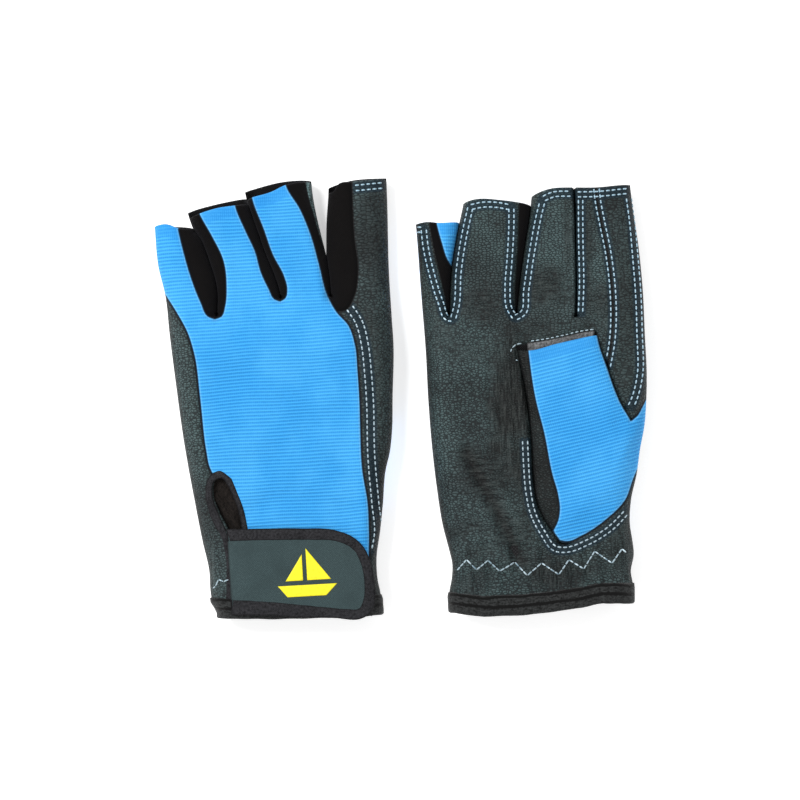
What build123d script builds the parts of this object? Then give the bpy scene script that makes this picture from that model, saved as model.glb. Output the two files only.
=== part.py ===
"""A pair of fingerless sailing gloves, lying flat and side by side.

The left glove lies palm down and the right glove lies palm up, so both thumbs are on the +X side.
Each glove is a flattened hand tube with four short finger stalls, a thumb stall folded onto the
palm, and a hook-and-loop strap across the back of the wrist.

Row frame, in mm: +Z up, +Y from the wrists to the fingers, floor at z = 0.
Glove frame: origin in the middle of the wrist hem, +y to the fingers, +x to the thumb side.
Depth is measured from the palm's outer surface (0) towards the back of the hand.
"""

import math
import os

from build123d import *

os.makedirs("parts", exist_ok=True)

# Walls
WALL = 1.4  # leather or stretch fabric with its lining
BODY_GAP = 0.4  # between pieces that move apart
RIM = 2.6  # how far the palm and back pieces of a tube curl round its edges

# Hand tube
HAND_HEIGHT = 18.0
HAND_ROUNDING = 5.0
HAND_OVERRUN = 20.0  # the tube is drawn past the knuckles, then cut back
HAND_HALF_WIDTHS = [(0, 38.5), (18, 38), (42, 41), (72, 45.5), (102, 48), (132, 49)]  # y, half width

# Finger stalls
FINGER_HEIGHT = 15.0
FINGER_LOW_Z = 0.4  # the stalls lie just above the floor
FINGER_ROUNDING = 4.0

# Thumb stall, as seen in plan: its crease and its open tip
CREASE_LOW = (8.9, 26.6)
CREASE_HIGH = (42.5, 82.9)
TIP_LEFT = (-3.3, 111.8)
TIP_RIGHT = (27.5, 118.0)
THUMB_HEIGHT = 9.0
THUMB_PROUD = 2.0  # how far the thumb stands out of the palm
THUMB_ROUNDING = 3.0
THUMB_SPLIT = 2.2  # height of the leather side's rims
THUMB_CLEARANCE = 1.8  # between the thumb and the dent that it lies in
THUMB_SWING = 5.5  # radius that the folded edge sweeps
DENT_FLOOR_GAP = 0.6

# Panel borders on the back of the hand
STRETCH_LEFT = [(-36.0, 73.0), (-37.4, 96.5), (-41.0, 124.4), (-46.0, 148.0)]
STRETCH_RIGHT = [(30.0, 148.0), (31.0, 124.2), (33.1, 91.6), (32.6, 61.0), (34.5, 33.4), (34.5, -2.0)]

# Wrist opening, a slot that widens into a keyhole above the strap, and its binding
SLOT = [(-27.5, -2.0), (-27.5, 38.0), (-35.5, 54.0), (-33.5, 62.0), (-26.0, 62.0), (-21.5, 48.0), (-21.5, -2.0)]
SLOT_ROUNDING = 3.0
KEYHOLE_CENTRE = (-29.5, 56.0)
SLOT_BINDING = 2.4
BINDING_PROUD = 0.8
WRIST_BINDING = 8.0  # width of the tape on the wrist hem
ELASTIC_Y = 22.0
ELASTIC_SIZE = (58.0, 10.0, 0.8)

# Strap, over the back of the wrist
STRAP_ROOT, STRAP_END = -28.0, 35.0
STRAP_LOW, STRAP_HIGH = -1.5, 37.0
STRAP_CORNERS = (12.0, 9.0)  # top and bottom corner of the free end
STRAP_BINDING = 5.0
PATCH_THICK = 0.8
STRAP_RISE = 2.0  # inner face of the strap over the back
STRAP_THICK = 1.3
STRAP_BINDING_DEPTHS = (1.2, 3.6)
PATCH_CENTRE = (10.0, 20.0)
PATCH_SIZE = (32.0, 22.0)
ANCHOR_WIDTH = 5.0
STRAP_STACK = STRAP_BINDING_DEPTHS[1]  # height of the closed strap over the back

# Emblem: a plain sailing boat
EMBLEM_CENTRE = (4.5, 17.5)
EMBLEM_THICK = 0.3
MAINSAIL = [(1.0, -3.5), (1.0, 10.5), (11.5, -3.5)]
JIB = [(-0.8, -3.5), (-0.8, 8.0), (-8.5, -3.5)]
HULL = [(-12.0, -5.5), (14.0, -5.5), (9.0, -10.5), (-8.0, -10.5)]

PLAN_REACH = 260.0  # larger than any glove

# Finger stalls: base centre, lean towards the thumb in degrees, base width, tip width, length
LEFT_FINGERS = {
    "pinky": ((-38.4, 131.5), -8.0, 20.0, 18.0, 40.5),
    "ring": ((-13.7, 134.0), -10.5, 28.0, 24.0, 47.0),
    "middle": ((12.8, 137.0), -10.3, 23.5, 23.5, 49.5),
    "index": ((37.2, 134.5), 0.5, 24.0, 24.0, 51.0),
}
RIGHT_FINGERS = {
    "pinky": ((-41.3, 129.0), 0.0, 15.0, 16.0, 40.0),
    "ring": ((-20.6, 130.0), 5.0, 25.0, 24.0, 48.5),
    "middle": ((5.0, 130.0), 6.5, 23.5, 21.0, 53.5),
    "index": ((34.2, 128.5), -0.5, 28.5, 21.0, 55.0),
}
GLOVES = {
    "left": {
        "plan": Plane(Location((-45.23, -92.65, 0), (0, 0, 3.25))),
        "palm_up": False,
        "palm_z": THUMB_PROUD,
        "fingers": LEFT_FINGERS,
    },
    "right": {
        "plan": Plane(Location((62.37, -89.95, 0), (0, 0, 1.6))),
        "palm_up": True,
        "palm_z": HAND_HEIGHT + STRAP_STACK,
        "fingers": RIGHT_FINGERS,
    },
}


def level(glove, depth):
    """Height above the floor of a surface at this depth."""
    return glove["palm_z"] - depth if glove["palm_up"] else glove["palm_z"] + depth


def floor_of(glove, plan, near, far):
    """The plan plane at the lower of two depths, where a slab between them starts."""
    return plan.offset(min(level(glove, near), level(glove, far)))


def finger_depth(glove):
    """Depth of the palm side of the finger stalls, which lie on the floor."""
    if glove["palm_up"]:
        return glove["palm_z"] - FINGER_LOW_Z - FINGER_HEIGHT
    return FINGER_LOW_Z - glove["palm_z"]


def finger_plan(glove, finger):
    """Plan plane with its origin at the base of a finger stall and +y along it."""
    (x, y), lean = finger[0], finger[1]
    return Plane(glove["plan"].location * Location((x, y, 0), (0, 0, -lean)))


def add_slab(glove, plan, near, far, mode=Mode.ADD, corner=None):
    """Everything between two depths, or only the x side of the plan named by corner (-1 or 1)."""
    with BuildSketch(floor_of(glove, plan, near, far)) as outline:
        if corner:
            with Locations((corner * PLAN_REACH / 2, 0)):
                Rectangle(PLAN_REACH, 2 * PLAN_REACH)
        else:
            Rectangle(2 * PLAN_REACH, 2 * PLAN_REACH)
    extrude(outline.sketch, amount=abs(far - near), mode=mode)


def add_prism(glove, points, near, far, mode=Mode.ADD):
    """A straight-sided prism between two depths."""
    with BuildSketch(floor_of(glove, glove["plan"], near, far)) as outline:
        with BuildLine():
            Polyline(*points, close=True)
        make_face()
    extrude(outline.sketch, amount=abs(far - near), mode=mode)


def finish(piece, name):
    """Names a finished piece and writes it."""
    piece.part.label = name
    export_step(piece.part, f"parts/{name}.step")


# ---- Hand tube ----


def hand_body(glove, inset, overrun):
    """The hand as a closed flat body, inset from its outer skin and drawn past its ends."""
    sides = [(w - inset, y) for y, w in HAND_HALF_WIDTHS]
    y_low, y_high = -overrun, HAND_HALF_WIDTHS[-1][0] + HAND_OVERRUN
    right = [(sides[0][0], y_low)] + sides[(1 if overrun == 0 else 0) :] + [(sides[-1][0], y_high)]
    left = [(-x, y) for x, y in right]
    with BuildPart() as body:
        with BuildSketch(floor_of(glove, glove["plan"], inset, HAND_HEIGHT - inset)):
            with BuildLine():
                Spline(*left)
                Spline(*right)
                Line(left[0], right[0])
                Line(left[-1], right[-1])
            make_face()
        extrude(amount=HAND_HEIGHT - 2 * inset)
        fillet(body.edges().filter_by(GeomType.BSPLINE), HAND_ROUNDING - inset)
    return body.part


def knuckle_front(glove, gap):
    """Plan outline of everything in front of the finger bases."""
    reach = HAND_HALF_WIDTHS[-1][1] + HAND_OVERRUN
    points = []
    for (x, y), lean, width, _, _ in glove["fingers"].values():
        a = math.radians(lean)
        for side in (-width / 2, width / 2):
            points.append((x + side * math.cos(a) - gap * math.sin(a), y - side * math.sin(a) - gap * math.cos(a)))
    low, high = points[0], points[-1]
    return [(-reach, low[1])] + points + [(reach, high[1]), (reach, PLAN_REACH), (-reach, PLAN_REACH)]


def hand_shell(glove):
    """The hand tube's wall, open at the wrist and cut back to the finger bases."""
    outer = hand_body(glove, 0, 0)
    inner = hand_body(glove, WALL, 5)
    with BuildPart() as shell:
        add(outer)
        add(inner, mode=Mode.SUBTRACT)
        add_prism(glove, knuckle_front(glove, BODY_GAP), -1, HAND_HEIGHT + 1, Mode.SUBTRACT)
    return shell.part


def thumb_outline(inset, tip, base):
    """Plan outline of the thumb stall, its sides moved in and its ends moved out."""
    corners = []
    for low, high, side in ((CREASE_LOW, TIP_LEFT, 1), (CREASE_HIGH, TIP_RIGHT, -1)):
        along = (Vector(*high) - Vector(*low)).normalized()
        across = Vector(along.Y, -along.X) * side * inset
        corners.append((Vector(*low) + across - along * base, Vector(*high) + across + along * tip))
    (low_left, high_left), (low_right, high_right) = corners
    return [(v.X, v.Y) for v in (low_left, high_left, high_right, low_right)]


def dent_outline(clearance, base):
    """Plan outline of the palm's dent under the thumb stall, moved out at the crease by base."""
    return thumb_outline(-clearance, clearance, base)


def crease_side(offset):
    """Plan outline of everything on the thumb side of the crease, at least offset away from it."""
    (x_low, y_low), (x_high, y_high) = CREASE_LOW, CREASE_HIGH
    shift = offset * math.hypot(x_high - x_low, y_high - y_low) / (y_high - y_low)
    edge = HAND_HALF_WIDTHS[-1][1] + HAND_OVERRUN
    return [(x_low + shift, y_low), (x_high + shift, y_high), (edge, y_high), (edge, y_low)]


def add_slot(glove, near, far, inset=0.0, start=-2.0, mode=Mode.ADD):
    """The wrist opening as a prism between two depths, inset and beginning at y = start."""
    with BuildSketch(floor_of(glove, glove["plan"], near, far)) as outline:
        with BuildLine():
            FilletPolyline(*SLOT, radius=SLOT_ROUNDING)
            Line(SLOT[-1], SLOT[0])
        make_face()
        if inset:
            offset(amount=-inset, mode=Mode.REPLACE)
        if inset or start > SLOT[0][1]:
            with Locations((0, start - PLAN_REACH / 2)):
                Rectangle(PLAN_REACH, PLAN_REACH, mode=Mode.SUBTRACT)
    extrude(outline.sketch, amount=abs(far - near), mode=mode)


def stretch_region():
    """Plan outline of the stretch fabric on the back of the hand."""
    slot_middle = (SLOT[0][0] + SLOT[-1][0]) / 2
    slot_side = [(slot_middle, SLOT[-1][1]), (slot_middle, SLOT[-2][1]), KEYHOLE_CENTRE, SLOT[3]]
    return slot_side + STRETCH_LEFT + STRETCH_RIGHT


def thumb_side_region():
    """Plan outline of the leather on the thumb side of the back."""
    edge = HAND_HALF_WIDTHS[-1][1] + HAND_OVERRUN
    return STRETCH_RIGHT + [(edge, -2.0), (edge, STRETCH_RIGHT[0][1])]


def make_palm_panel(name, glove, shell):
    """Leather palm, which wraps round the little finger's side and dents under the thumb."""
    back = HAND_HEIGHT - RIM
    dent_floor = THUMB_HEIGHT - THUMB_PROUD + DENT_FLOOR_GAP
    outer_dent, inner_dent = dent_outline(THUMB_CLEARANCE + WALL, 0), dent_outline(THUMB_CLEARANCE, THUMB_SWING)
    with BuildPart() as palm:
        add(shell)
        add_prism(glove, stretch_region(), back, HAND_HEIGHT + 1, Mode.SUBTRACT)
        add_prism(glove, thumb_side_region(), back, HAND_HEIGHT + 1, Mode.SUBTRACT)
        add_slot(glove, back, HAND_HEIGHT + 1, mode=Mode.SUBTRACT)
        add_slab(glove, glove["plan"], RIM, back, Mode.SUBTRACT, corner=1)
        add_prism(glove, outer_dent, 0, dent_floor + WALL)
        add_prism(glove, inner_dent, -1, dent_floor, Mode.SUBTRACT)
        add_prism(glove, crease_side(0), -1, back, Mode.SUBTRACT)
        with BuildSketch(floor_of(glove, glove["plan"], -1, dent_floor)) as swing:
            with Locations(CREASE_LOW, CREASE_HIGH):
                Circle(THUMB_SWING)
        extrude(swing.sketch, amount=dent_floor + 1, mode=Mode.SUBTRACT)
    finish(palm, name + "_palm_panel")


def make_back_panel(name, glove, shell):
    """Stretch fabric over the back of the hand, cut away for the wrist opening."""
    with BuildPart() as back:
        add(shell)
        add_prism(glove, stretch_region(), HAND_HEIGHT - RIM, HAND_HEIGHT, Mode.INTERSECT)
        add_slot(glove, HAND_HEIGHT - RIM, HAND_HEIGHT, mode=Mode.SUBTRACT)
    finish(back, name + "_back_panel")


def make_side_panel(name, glove, shell):
    """Leather along the thumb side, from the index finger to the wrist."""
    back = HAND_HEIGHT - RIM
    with BuildPart() as side:
        add(shell)
        add_slab(glove, glove["plan"], RIM, HAND_HEIGHT, Mode.INTERSECT, corner=1)
        add_prism(glove, stretch_region(), back, HAND_HEIGHT, Mode.SUBTRACT)
        add_prism(glove, crease_side(0), RIM, back, Mode.SUBTRACT)
        add_prism(glove, dent_outline(THUMB_CLEARANCE + WALL, 0), 0, back, Mode.SUBTRACT)
    finish(side, name + "_side_panel")


def make_thumb_base(name, glove, shell):
    """Stretch fabric at the root of the thumb, which the thumb stall folds away from."""
    with BuildPart() as base:
        add(shell)
        add_prism(glove, crease_side(THUMB_SWING), 0, HAND_HEIGHT - RIM, Mode.INTERSECT)
    finish(base, name + "_thumb_base")


def make_wrist_pieces(name, glove):
    """Elastic, hem binding, and the bound opening with its gusset."""
    with BuildPart() as elastic:
        length, width, thick = ELASTIC_SIZE
        with BuildSketch(floor_of(glove, glove["plan"], WALL, WALL + thick)):
            with Locations((0, ELASTIC_Y - width / 2)):
                Rectangle(length, width, align=(Align.CENTER, Align.CENTER))
        extrude(amount=thick)
    finish(elastic, name + "_wrist_elastic")

    hand = hand_body(glove, 0, 5)
    tape = hand_body(glove, -BINDING_PROUD, 5)
    with BuildPart() as hem:
        add(tape)
        add(hand, mode=Mode.SUBTRACT)
        with BuildSketch(floor_of(glove, glove["plan"], -BINDING_PROUD, HAND_HEIGHT + BINDING_PROUD)):
            with Locations((0, WRIST_BINDING / 2)):
                Rectangle(2 * PLAN_REACH, WRIST_BINDING)
        extrude(amount=HAND_HEIGHT + 2 * BINDING_PROUD, mode=Mode.INTERSECT)
        add_slot(glove, HAND_HEIGHT / 2, HAND_HEIGHT + 1, SLOT_BINDING, mode=Mode.SUBTRACT)
    finish(hem, name + "_wrist_binding")

    with BuildPart() as opening:
        add_slot(glove, HAND_HEIGHT - WALL, HAND_HEIGHT + BINDING_PROUD, start=WRIST_BINDING)
        add_slot(glove, HAND_HEIGHT - WALL, HAND_HEIGHT + BINDING_PROUD, SLOT_BINDING, mode=Mode.SUBTRACT)
    finish(opening, name + "_opening_binding")

    with BuildPart() as gusset:
        add_slot(glove, HAND_HEIGHT - WALL, HAND_HEIGHT - WALL / 2, SLOT_BINDING, start=0)
    finish(gusset, name + "_wrist_gusset")


# ---- Strap ----


def add_strap(glove, near, far, inset, mode=Mode.ADD):
    """The strap with its free end rounded, inset on its three free sides, between two depths."""
    low, high, end = STRAP_LOW + inset, STRAP_HIGH - inset, STRAP_END - inset
    top, bottom = (radius - inset for radius in STRAP_CORNERS)
    middle = (low + bottom + high - top) / 2
    with BuildSketch(floor_of(glove, glove["plan"], near, far)) as outline:
        with BuildLine():
            FilletPolyline((STRAP_ROOT, high), (end, high), (end, middle), radius=top)
            FilletPolyline((end, middle), (end, low), (STRAP_ROOT, low), radius=bottom)
            Line((STRAP_ROOT, low), (STRAP_ROOT, high))
        make_face()
    extrude(outline.sketch, amount=far - near, mode=mode)


def make_strap(name, glove):
    """Strap with its binding, its hook and loop patches, its sewn-down end and its emblem."""
    near, far = (HAND_HEIGHT + depth for depth in STRAP_BINDING_DEPTHS)
    inner = HAND_HEIGHT + STRAP_RISE
    outer = inner + STRAP_THICK
    with BuildPart() as face:
        add_strap(glove, inner, outer, STRAP_BINDING)
    finish(face, name + "_strap")

    with BuildPart() as binding:
        add_strap(glove, near, far, 0)
        add_strap(glove, near, far, STRAP_BINDING, Mode.SUBTRACT)
    finish(binding, name + "_strap_binding")

    patches = {"loop_patch": HAND_HEIGHT, "hook_patch": inner - PATCH_THICK}
    for patch_name, depth in patches.items():
        with BuildPart() as patch:
            with BuildSketch(floor_of(glove, glove["plan"], depth, depth + PATCH_THICK)):
                with Locations(PATCH_CENTRE):
                    RectangleRounded(*PATCH_SIZE, 3)
            extrude(amount=PATCH_THICK)
        finish(patch, f"{name}_{patch_name}")

    with BuildPart() as anchor:
        low, high = WRIST_BINDING + BODY_GAP, STRAP_HIGH - 1
        with BuildSketch(floor_of(glove, glove["plan"], HAND_HEIGHT + BINDING_PROUD, outer)):
            with Locations((STRAP_ROOT - BODY_GAP - ANCHOR_WIDTH / 2, (low + high) / 2)):
                Rectangle(ANCHOR_WIDTH, high - low)
        extrude(amount=outer - HAND_HEIGHT - BINDING_PROUD)
    finish(anchor, name + "_strap_anchor")

    emblem_plan = Plane(glove["plan"].location * Location((*EMBLEM_CENTRE, 0)))
    with BuildPart() as emblem:
        with BuildSketch(floor_of(glove, emblem_plan, outer, outer + EMBLEM_THICK)):
            for shape in (MAINSAIL, JIB, HULL):
                with BuildLine():
                    Polyline(*shape, close=True)
                make_face()
        extrude(amount=EMBLEM_THICK)
    finish(emblem, name + "_strap_emblem")


# ---- Thumb stall ----


def make_thumb(name, glove):
    """Flattened thumb stall, open at its tip and at the crease: fabric outside, leather on the palm side."""
    near, far = -THUMB_PROUD, THUMB_HEIGHT - THUMB_PROUD
    bodies = []
    for inset, overrun in ((0, 0), (WALL, 6)):
        outline = thumb_outline(inset, overrun, overrun)
        with BuildPart() as body:
            add_prism(glove, outline, near + inset, far - inset)
            fillet([e for e in body.edges() if is_thumb_side(glove, e)], THUMB_ROUNDING - inset)
        bodies.append(body.part)
    outer, inner = bodies
    for piece_name, limits in (("thumb_back", (near, far - THUMB_SPLIT)), ("thumb_palm", (far - THUMB_SPLIT, far))):
        with BuildPart() as piece:
            add(outer)
            add(inner, mode=Mode.SUBTRACT)
            add_slab(glove, glove["plan"], *limits, Mode.INTERSECT)
        finish(piece, f"{name}_{piece_name}")


def is_thumb_side(glove, edge):
    """True for the edges along the thumb stall's two closed sides."""
    start, end = (glove["plan"].to_local_coords(edge @ t) for t in (0, 1))
    direction = (end - start).normalized()
    sides = [Vector(*high) - Vector(*low) for low, high in ((CREASE_LOW, TIP_LEFT), (CREASE_HIGH, TIP_RIGHT))]
    return any(abs(direction.dot(side.normalized())) > 0.999 for side in sides)


# ---- Finger stalls ----


def finger_body(glove, finger, inset, overrun):
    """One finger stall as a closed tapered body, inset and drawn past its ends."""
    _, _, base, tip, length = finger
    plan = finger_plan(glove, finger)
    depth = finger_depth(glove)
    taper = (tip - base) / 2 / length
    corners = []
    for y in (-overrun, length + overrun):
        half = base / 2 + taper * y - inset
        corners += [(-half, y), (half, y)]
    outline = [corners[0], corners[2], corners[3], corners[1]]
    with BuildPart() as body:
        with BuildSketch(floor_of(glove, plan, depth + inset, depth + FINGER_HEIGHT - inset)):
            with BuildLine():
                Polyline(*outline, close=True)
            make_face()
        extrude(amount=FINGER_HEIGHT - 2 * inset)
        fillet([e for e in body.edges() if abs((e % 0).dot(plan.y_dir)) > 0.9], FINGER_ROUNDING - inset)
    return body.part


def make_finger(name, glove, finger_name, finger):
    """One stall: palm and back pieces, with the strips between the fingers, or leather, on its sides."""
    plan = finger_plan(glove, finger)
    depth = finger_depth(glove)
    outer = finger_body(glove, finger, 0, 0)
    inner = finger_body(glove, finger, WALL, 6)
    with BuildPart() as tube:
        add(outer)
        add(inner, mode=Mode.SUBTRACT)

    middle = (depth + RIM, depth + FINGER_HEIGHT - RIM)
    pinky, index = finger_name == "pinky", finger_name == "index"
    with BuildPart() as palm:
        add(tube.part)
        if pinky:
            add_slab(glove, plan, *middle, Mode.SUBTRACT, corner=1)
            add_slab(glove, plan, middle[1], depth + FINGER_HEIGHT + 1, Mode.SUBTRACT)
        else:
            add_slab(glove, plan, depth, middle[0], Mode.INTERSECT)
    finish(palm, f"{name}_{finger_name}_palm")

    with BuildPart() as back:
        add(tube.part)
        add_slab(glove, plan, middle[1], depth + FINGER_HEIGHT, Mode.INTERSECT)
    finish(back, f"{name}_{finger_name}_back")

    with BuildPart() as sides:
        add(tube.part)
        add_slab(glove, plan, *middle, Mode.INTERSECT, corner={"pinky": 1, "index": -1}.get(finger_name))
    finish(sides, f"{name}_{finger_name}_fourchette" + ("" if pinky or index else "s"))

    if index:
        with BuildPart() as strip:
            add(tube.part)
            add_slab(glove, plan, *middle, Mode.INTERSECT, corner=1)
        finish(strip, f"{name}_index_strip")


for glove_name, glove_data in GLOVES.items():
    wall = hand_shell(glove_data)
    make_palm_panel(glove_name, glove_data, wall)
    make_back_panel(glove_name, glove_data, wall)
    make_side_panel(glove_name, glove_data, wall)
    make_thumb_base(glove_name, glove_data, wall)
    make_wrist_pieces(glove_name, glove_data)
    make_strap(glove_name, glove_data)
    make_thumb(glove_name, glove_data)
    for stall_name, stall in glove_data["fingers"].items():
        make_finger(glove_name, glove_data, stall_name, stall)
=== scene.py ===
"""Looks for a pair of sailing gloves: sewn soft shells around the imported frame.

Shapes are worked out in each glove's own plan, in mm: x to the thumb, y to the fingers, origin in
the middle of the wrist hem. A point's rise is its height over the glove's middle plane, towards the
face that it is on. Pieces are turned into the shared frame, in metres, when they are made.
"""

import math

import bpy
import numpy as np
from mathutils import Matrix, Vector, noise
from mathutils.geometry import delaunay_2d_cdt


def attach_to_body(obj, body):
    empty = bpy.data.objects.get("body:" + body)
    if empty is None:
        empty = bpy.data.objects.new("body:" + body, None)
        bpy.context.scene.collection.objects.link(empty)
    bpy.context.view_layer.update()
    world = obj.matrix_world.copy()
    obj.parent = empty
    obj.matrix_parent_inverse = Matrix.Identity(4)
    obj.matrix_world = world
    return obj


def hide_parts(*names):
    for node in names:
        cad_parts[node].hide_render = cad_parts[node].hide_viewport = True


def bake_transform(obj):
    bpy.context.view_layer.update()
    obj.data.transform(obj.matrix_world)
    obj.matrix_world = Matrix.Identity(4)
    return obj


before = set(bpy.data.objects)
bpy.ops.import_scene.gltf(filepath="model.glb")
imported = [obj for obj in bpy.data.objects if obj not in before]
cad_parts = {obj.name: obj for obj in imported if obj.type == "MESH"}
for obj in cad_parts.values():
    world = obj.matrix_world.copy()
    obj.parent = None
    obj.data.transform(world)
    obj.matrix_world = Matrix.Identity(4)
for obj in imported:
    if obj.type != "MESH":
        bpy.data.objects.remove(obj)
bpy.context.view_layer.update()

THICK = 1.2  # skin with its lining
HAND_RISE = 8.6  # half height of the hand tube
FINGER_RISE = 7.0
FINGER_MIDDLE = 7.9  # middle plane of the finger stalls
KNUCKLE_START, KNUCKLE_END = 112.0, 150.0  # where the hand tube turns into stalls
SIDE_REACH = 9.0  # how far in from a side edge a tube is rounded
FOLD_REACH = 5.5
DENT_FLOOR = 2.5
THUMB_EDGE = -1.1  # rise of the thumb's side edges, from the palm
THUMB_CROWN = 2.4
THUMB_DEPTH = 4.2
BEND_LENGTH = 17.0  # of a finger stall, from its base
STITCH_PITCH = 2.5
STITCH_LENGTH = 1.75
GRID = 1.7
RIB_PITCH = 1.5
THUMB_THICK = 1.0
JOINED_THICK = 0.08  # a skin thinner than this has no open border
THUMB_TIP_LENGTH = 16  # how far back from its open tip a thumb stall narrows
SEAM_SINK, SEAM_WIDTH = 0.5, 0.75
ROW_SINK, ROW_WIDTH = 0.25, 0.6
GATHER_Y, GATHER_PITCH = 16, 6.2  # middle of the gathers over the wrist elastic, and the length of one
BUMPS = ((0.45, 26, 1), (0.22, 11, 2), (0.1, 5, 3))  # height, size and seed of a skin's soft bumps
STITCH_THICK = 0.36
STITCH_SHAPE = ((0.0, 0.35), (0.14, 0.85), (0.5, 1.0), (0.86, 0.85), (1.0, 0.35))  # place along it, width
STITCH_SIDES = 6
FLOOR_GAP = 0.05
PLIES = ("skin", "lining")
NO_LINE = 50.0  # a distance in mm that is too far to matter to a material
MESH_ROWS = {
    "edge": (0.1, 0.4, 0.9, 1.6), "seam": (0.35, 0.9, 1.7), "plain": (0.8,), "rim": (0.2, 0.6, 1.2)
}
THUMB_MESH_ROWS = {**MESH_ROWS, "edge": (0.15, 0.5, 1.0, 1.7)}


# ---- Lines and distances in the plan ----


def smooth(points, step=1.2):
    """A smooth line through the points, as points about a step apart."""
    p = np.array(points, float)
    gap = np.linalg.norm(np.diff(p, axis=0), axis=1)
    slope = np.diff(p, axis=0) / gap[:, None]
    tangent = np.vstack([slope[:1], slope[-1:]]) if len(p) == 2 else None
    if tangent is None:
        before, after = gap[:-1, None], gap[1:, None]
        inner = (slope[:-1] * after + slope[1:] * before) / (before + after)
        tangent = np.vstack([slope[:1], inner, slope[-1:]])
    line = []
    for i, length in enumerate(gap):
        count = max(1, int(round(length / step)))
        t = (np.arange(count) / count)[:, None]
        start, end = p[i], p[i + 1]
        line.append(
            start * (1 + 2 * t) * (1 - t) ** 2
            + end * t * t * (3 - 2 * t)
            + length * (tangent[i] * t * (1 - t) ** 2 - tangent[i + 1] * t * t * (1 - t))
        )
    return np.vstack(line + [p[-1:]])


def travelled(line):
    """How far along the line each of its points is."""
    return np.concatenate([[0], np.cumsum(np.linalg.norm(np.diff(line, axis=0), axis=1))])


def beside(line, distance, grow=0.0):
    """A line moved to its right, by a distance that grows over its first grow mm."""
    ahead = np.gradient(line, axis=0)
    ahead /= np.linalg.norm(ahead, axis=1)[:, None]
    right = np.column_stack([ahead[:, 1], -ahead[:, 0]])
    share = np.clip(travelled(line) / grow, 0, 1) if grow else np.ones(len(line))
    return line + right * (distance * share)[:, None]


def joined(*lines):
    return np.vstack(lines)


def between(left, right):
    """The outline of what lies between two lines that run the same way."""
    return np.vstack([left, right[::-1]])


def distance(points, lines):
    """Distance from each point to the nearest of the lines."""
    best = np.full(len(points), 1e6)
    for line in lines:
        start, along = line[:-1], np.diff(line, axis=0)
        square = (along**2).sum(1) + 1e-12
        for k in range(0, len(points), 3000):
            to = points[k : k + 3000, None, :] - start[None]
            t = np.clip((to * along).sum(2) / square, 0, 1)
            gap = to - t[..., None] * along
            best[k : k + 3000] = np.minimum(best[k : k + 3000], np.sqrt((gap**2).sum(2).min(1)))
    return best


def inside(points, polygon):
    x, y = points.T
    found = np.zeros(len(points), bool)
    for (ax, ay), (bx, by) in zip(polygon, np.roll(polygon, -1, 0)):
        crosses = (ay > y) != (by > y)
        if crosses.any():
            found ^= crosses & (x < (bx - ax) * (y - ay) / (by - ay + 1e-12) + ax)
    return found


def under(points, line):
    return points[:, 1] < np.interp(points[:, 0], line[:, 0], line[:, 1])


def ease(t):
    t = np.clip(t, 0, 1)
    return t * t * (3 - 2 * t)


def rounding(t):
    """0 at an edge, upright there, and 1 from t = 1 on, like a quarter of an ellipse."""
    return np.sqrt(1 - (1 - np.clip(t, 0, 1)) ** 2)


def bell(gap, width):
    return np.exp(-((gap / width) ** 2))


def ripple(points, size, seed):
    """Soft bumps of about that size in mm, from -1 to 1."""
    shift = 17.3 * seed
    return np.array([noise.noise(Vector((x / size + shift, y / size - shift, shift))) for x, y in points])


# ---- Outlines ----

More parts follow.
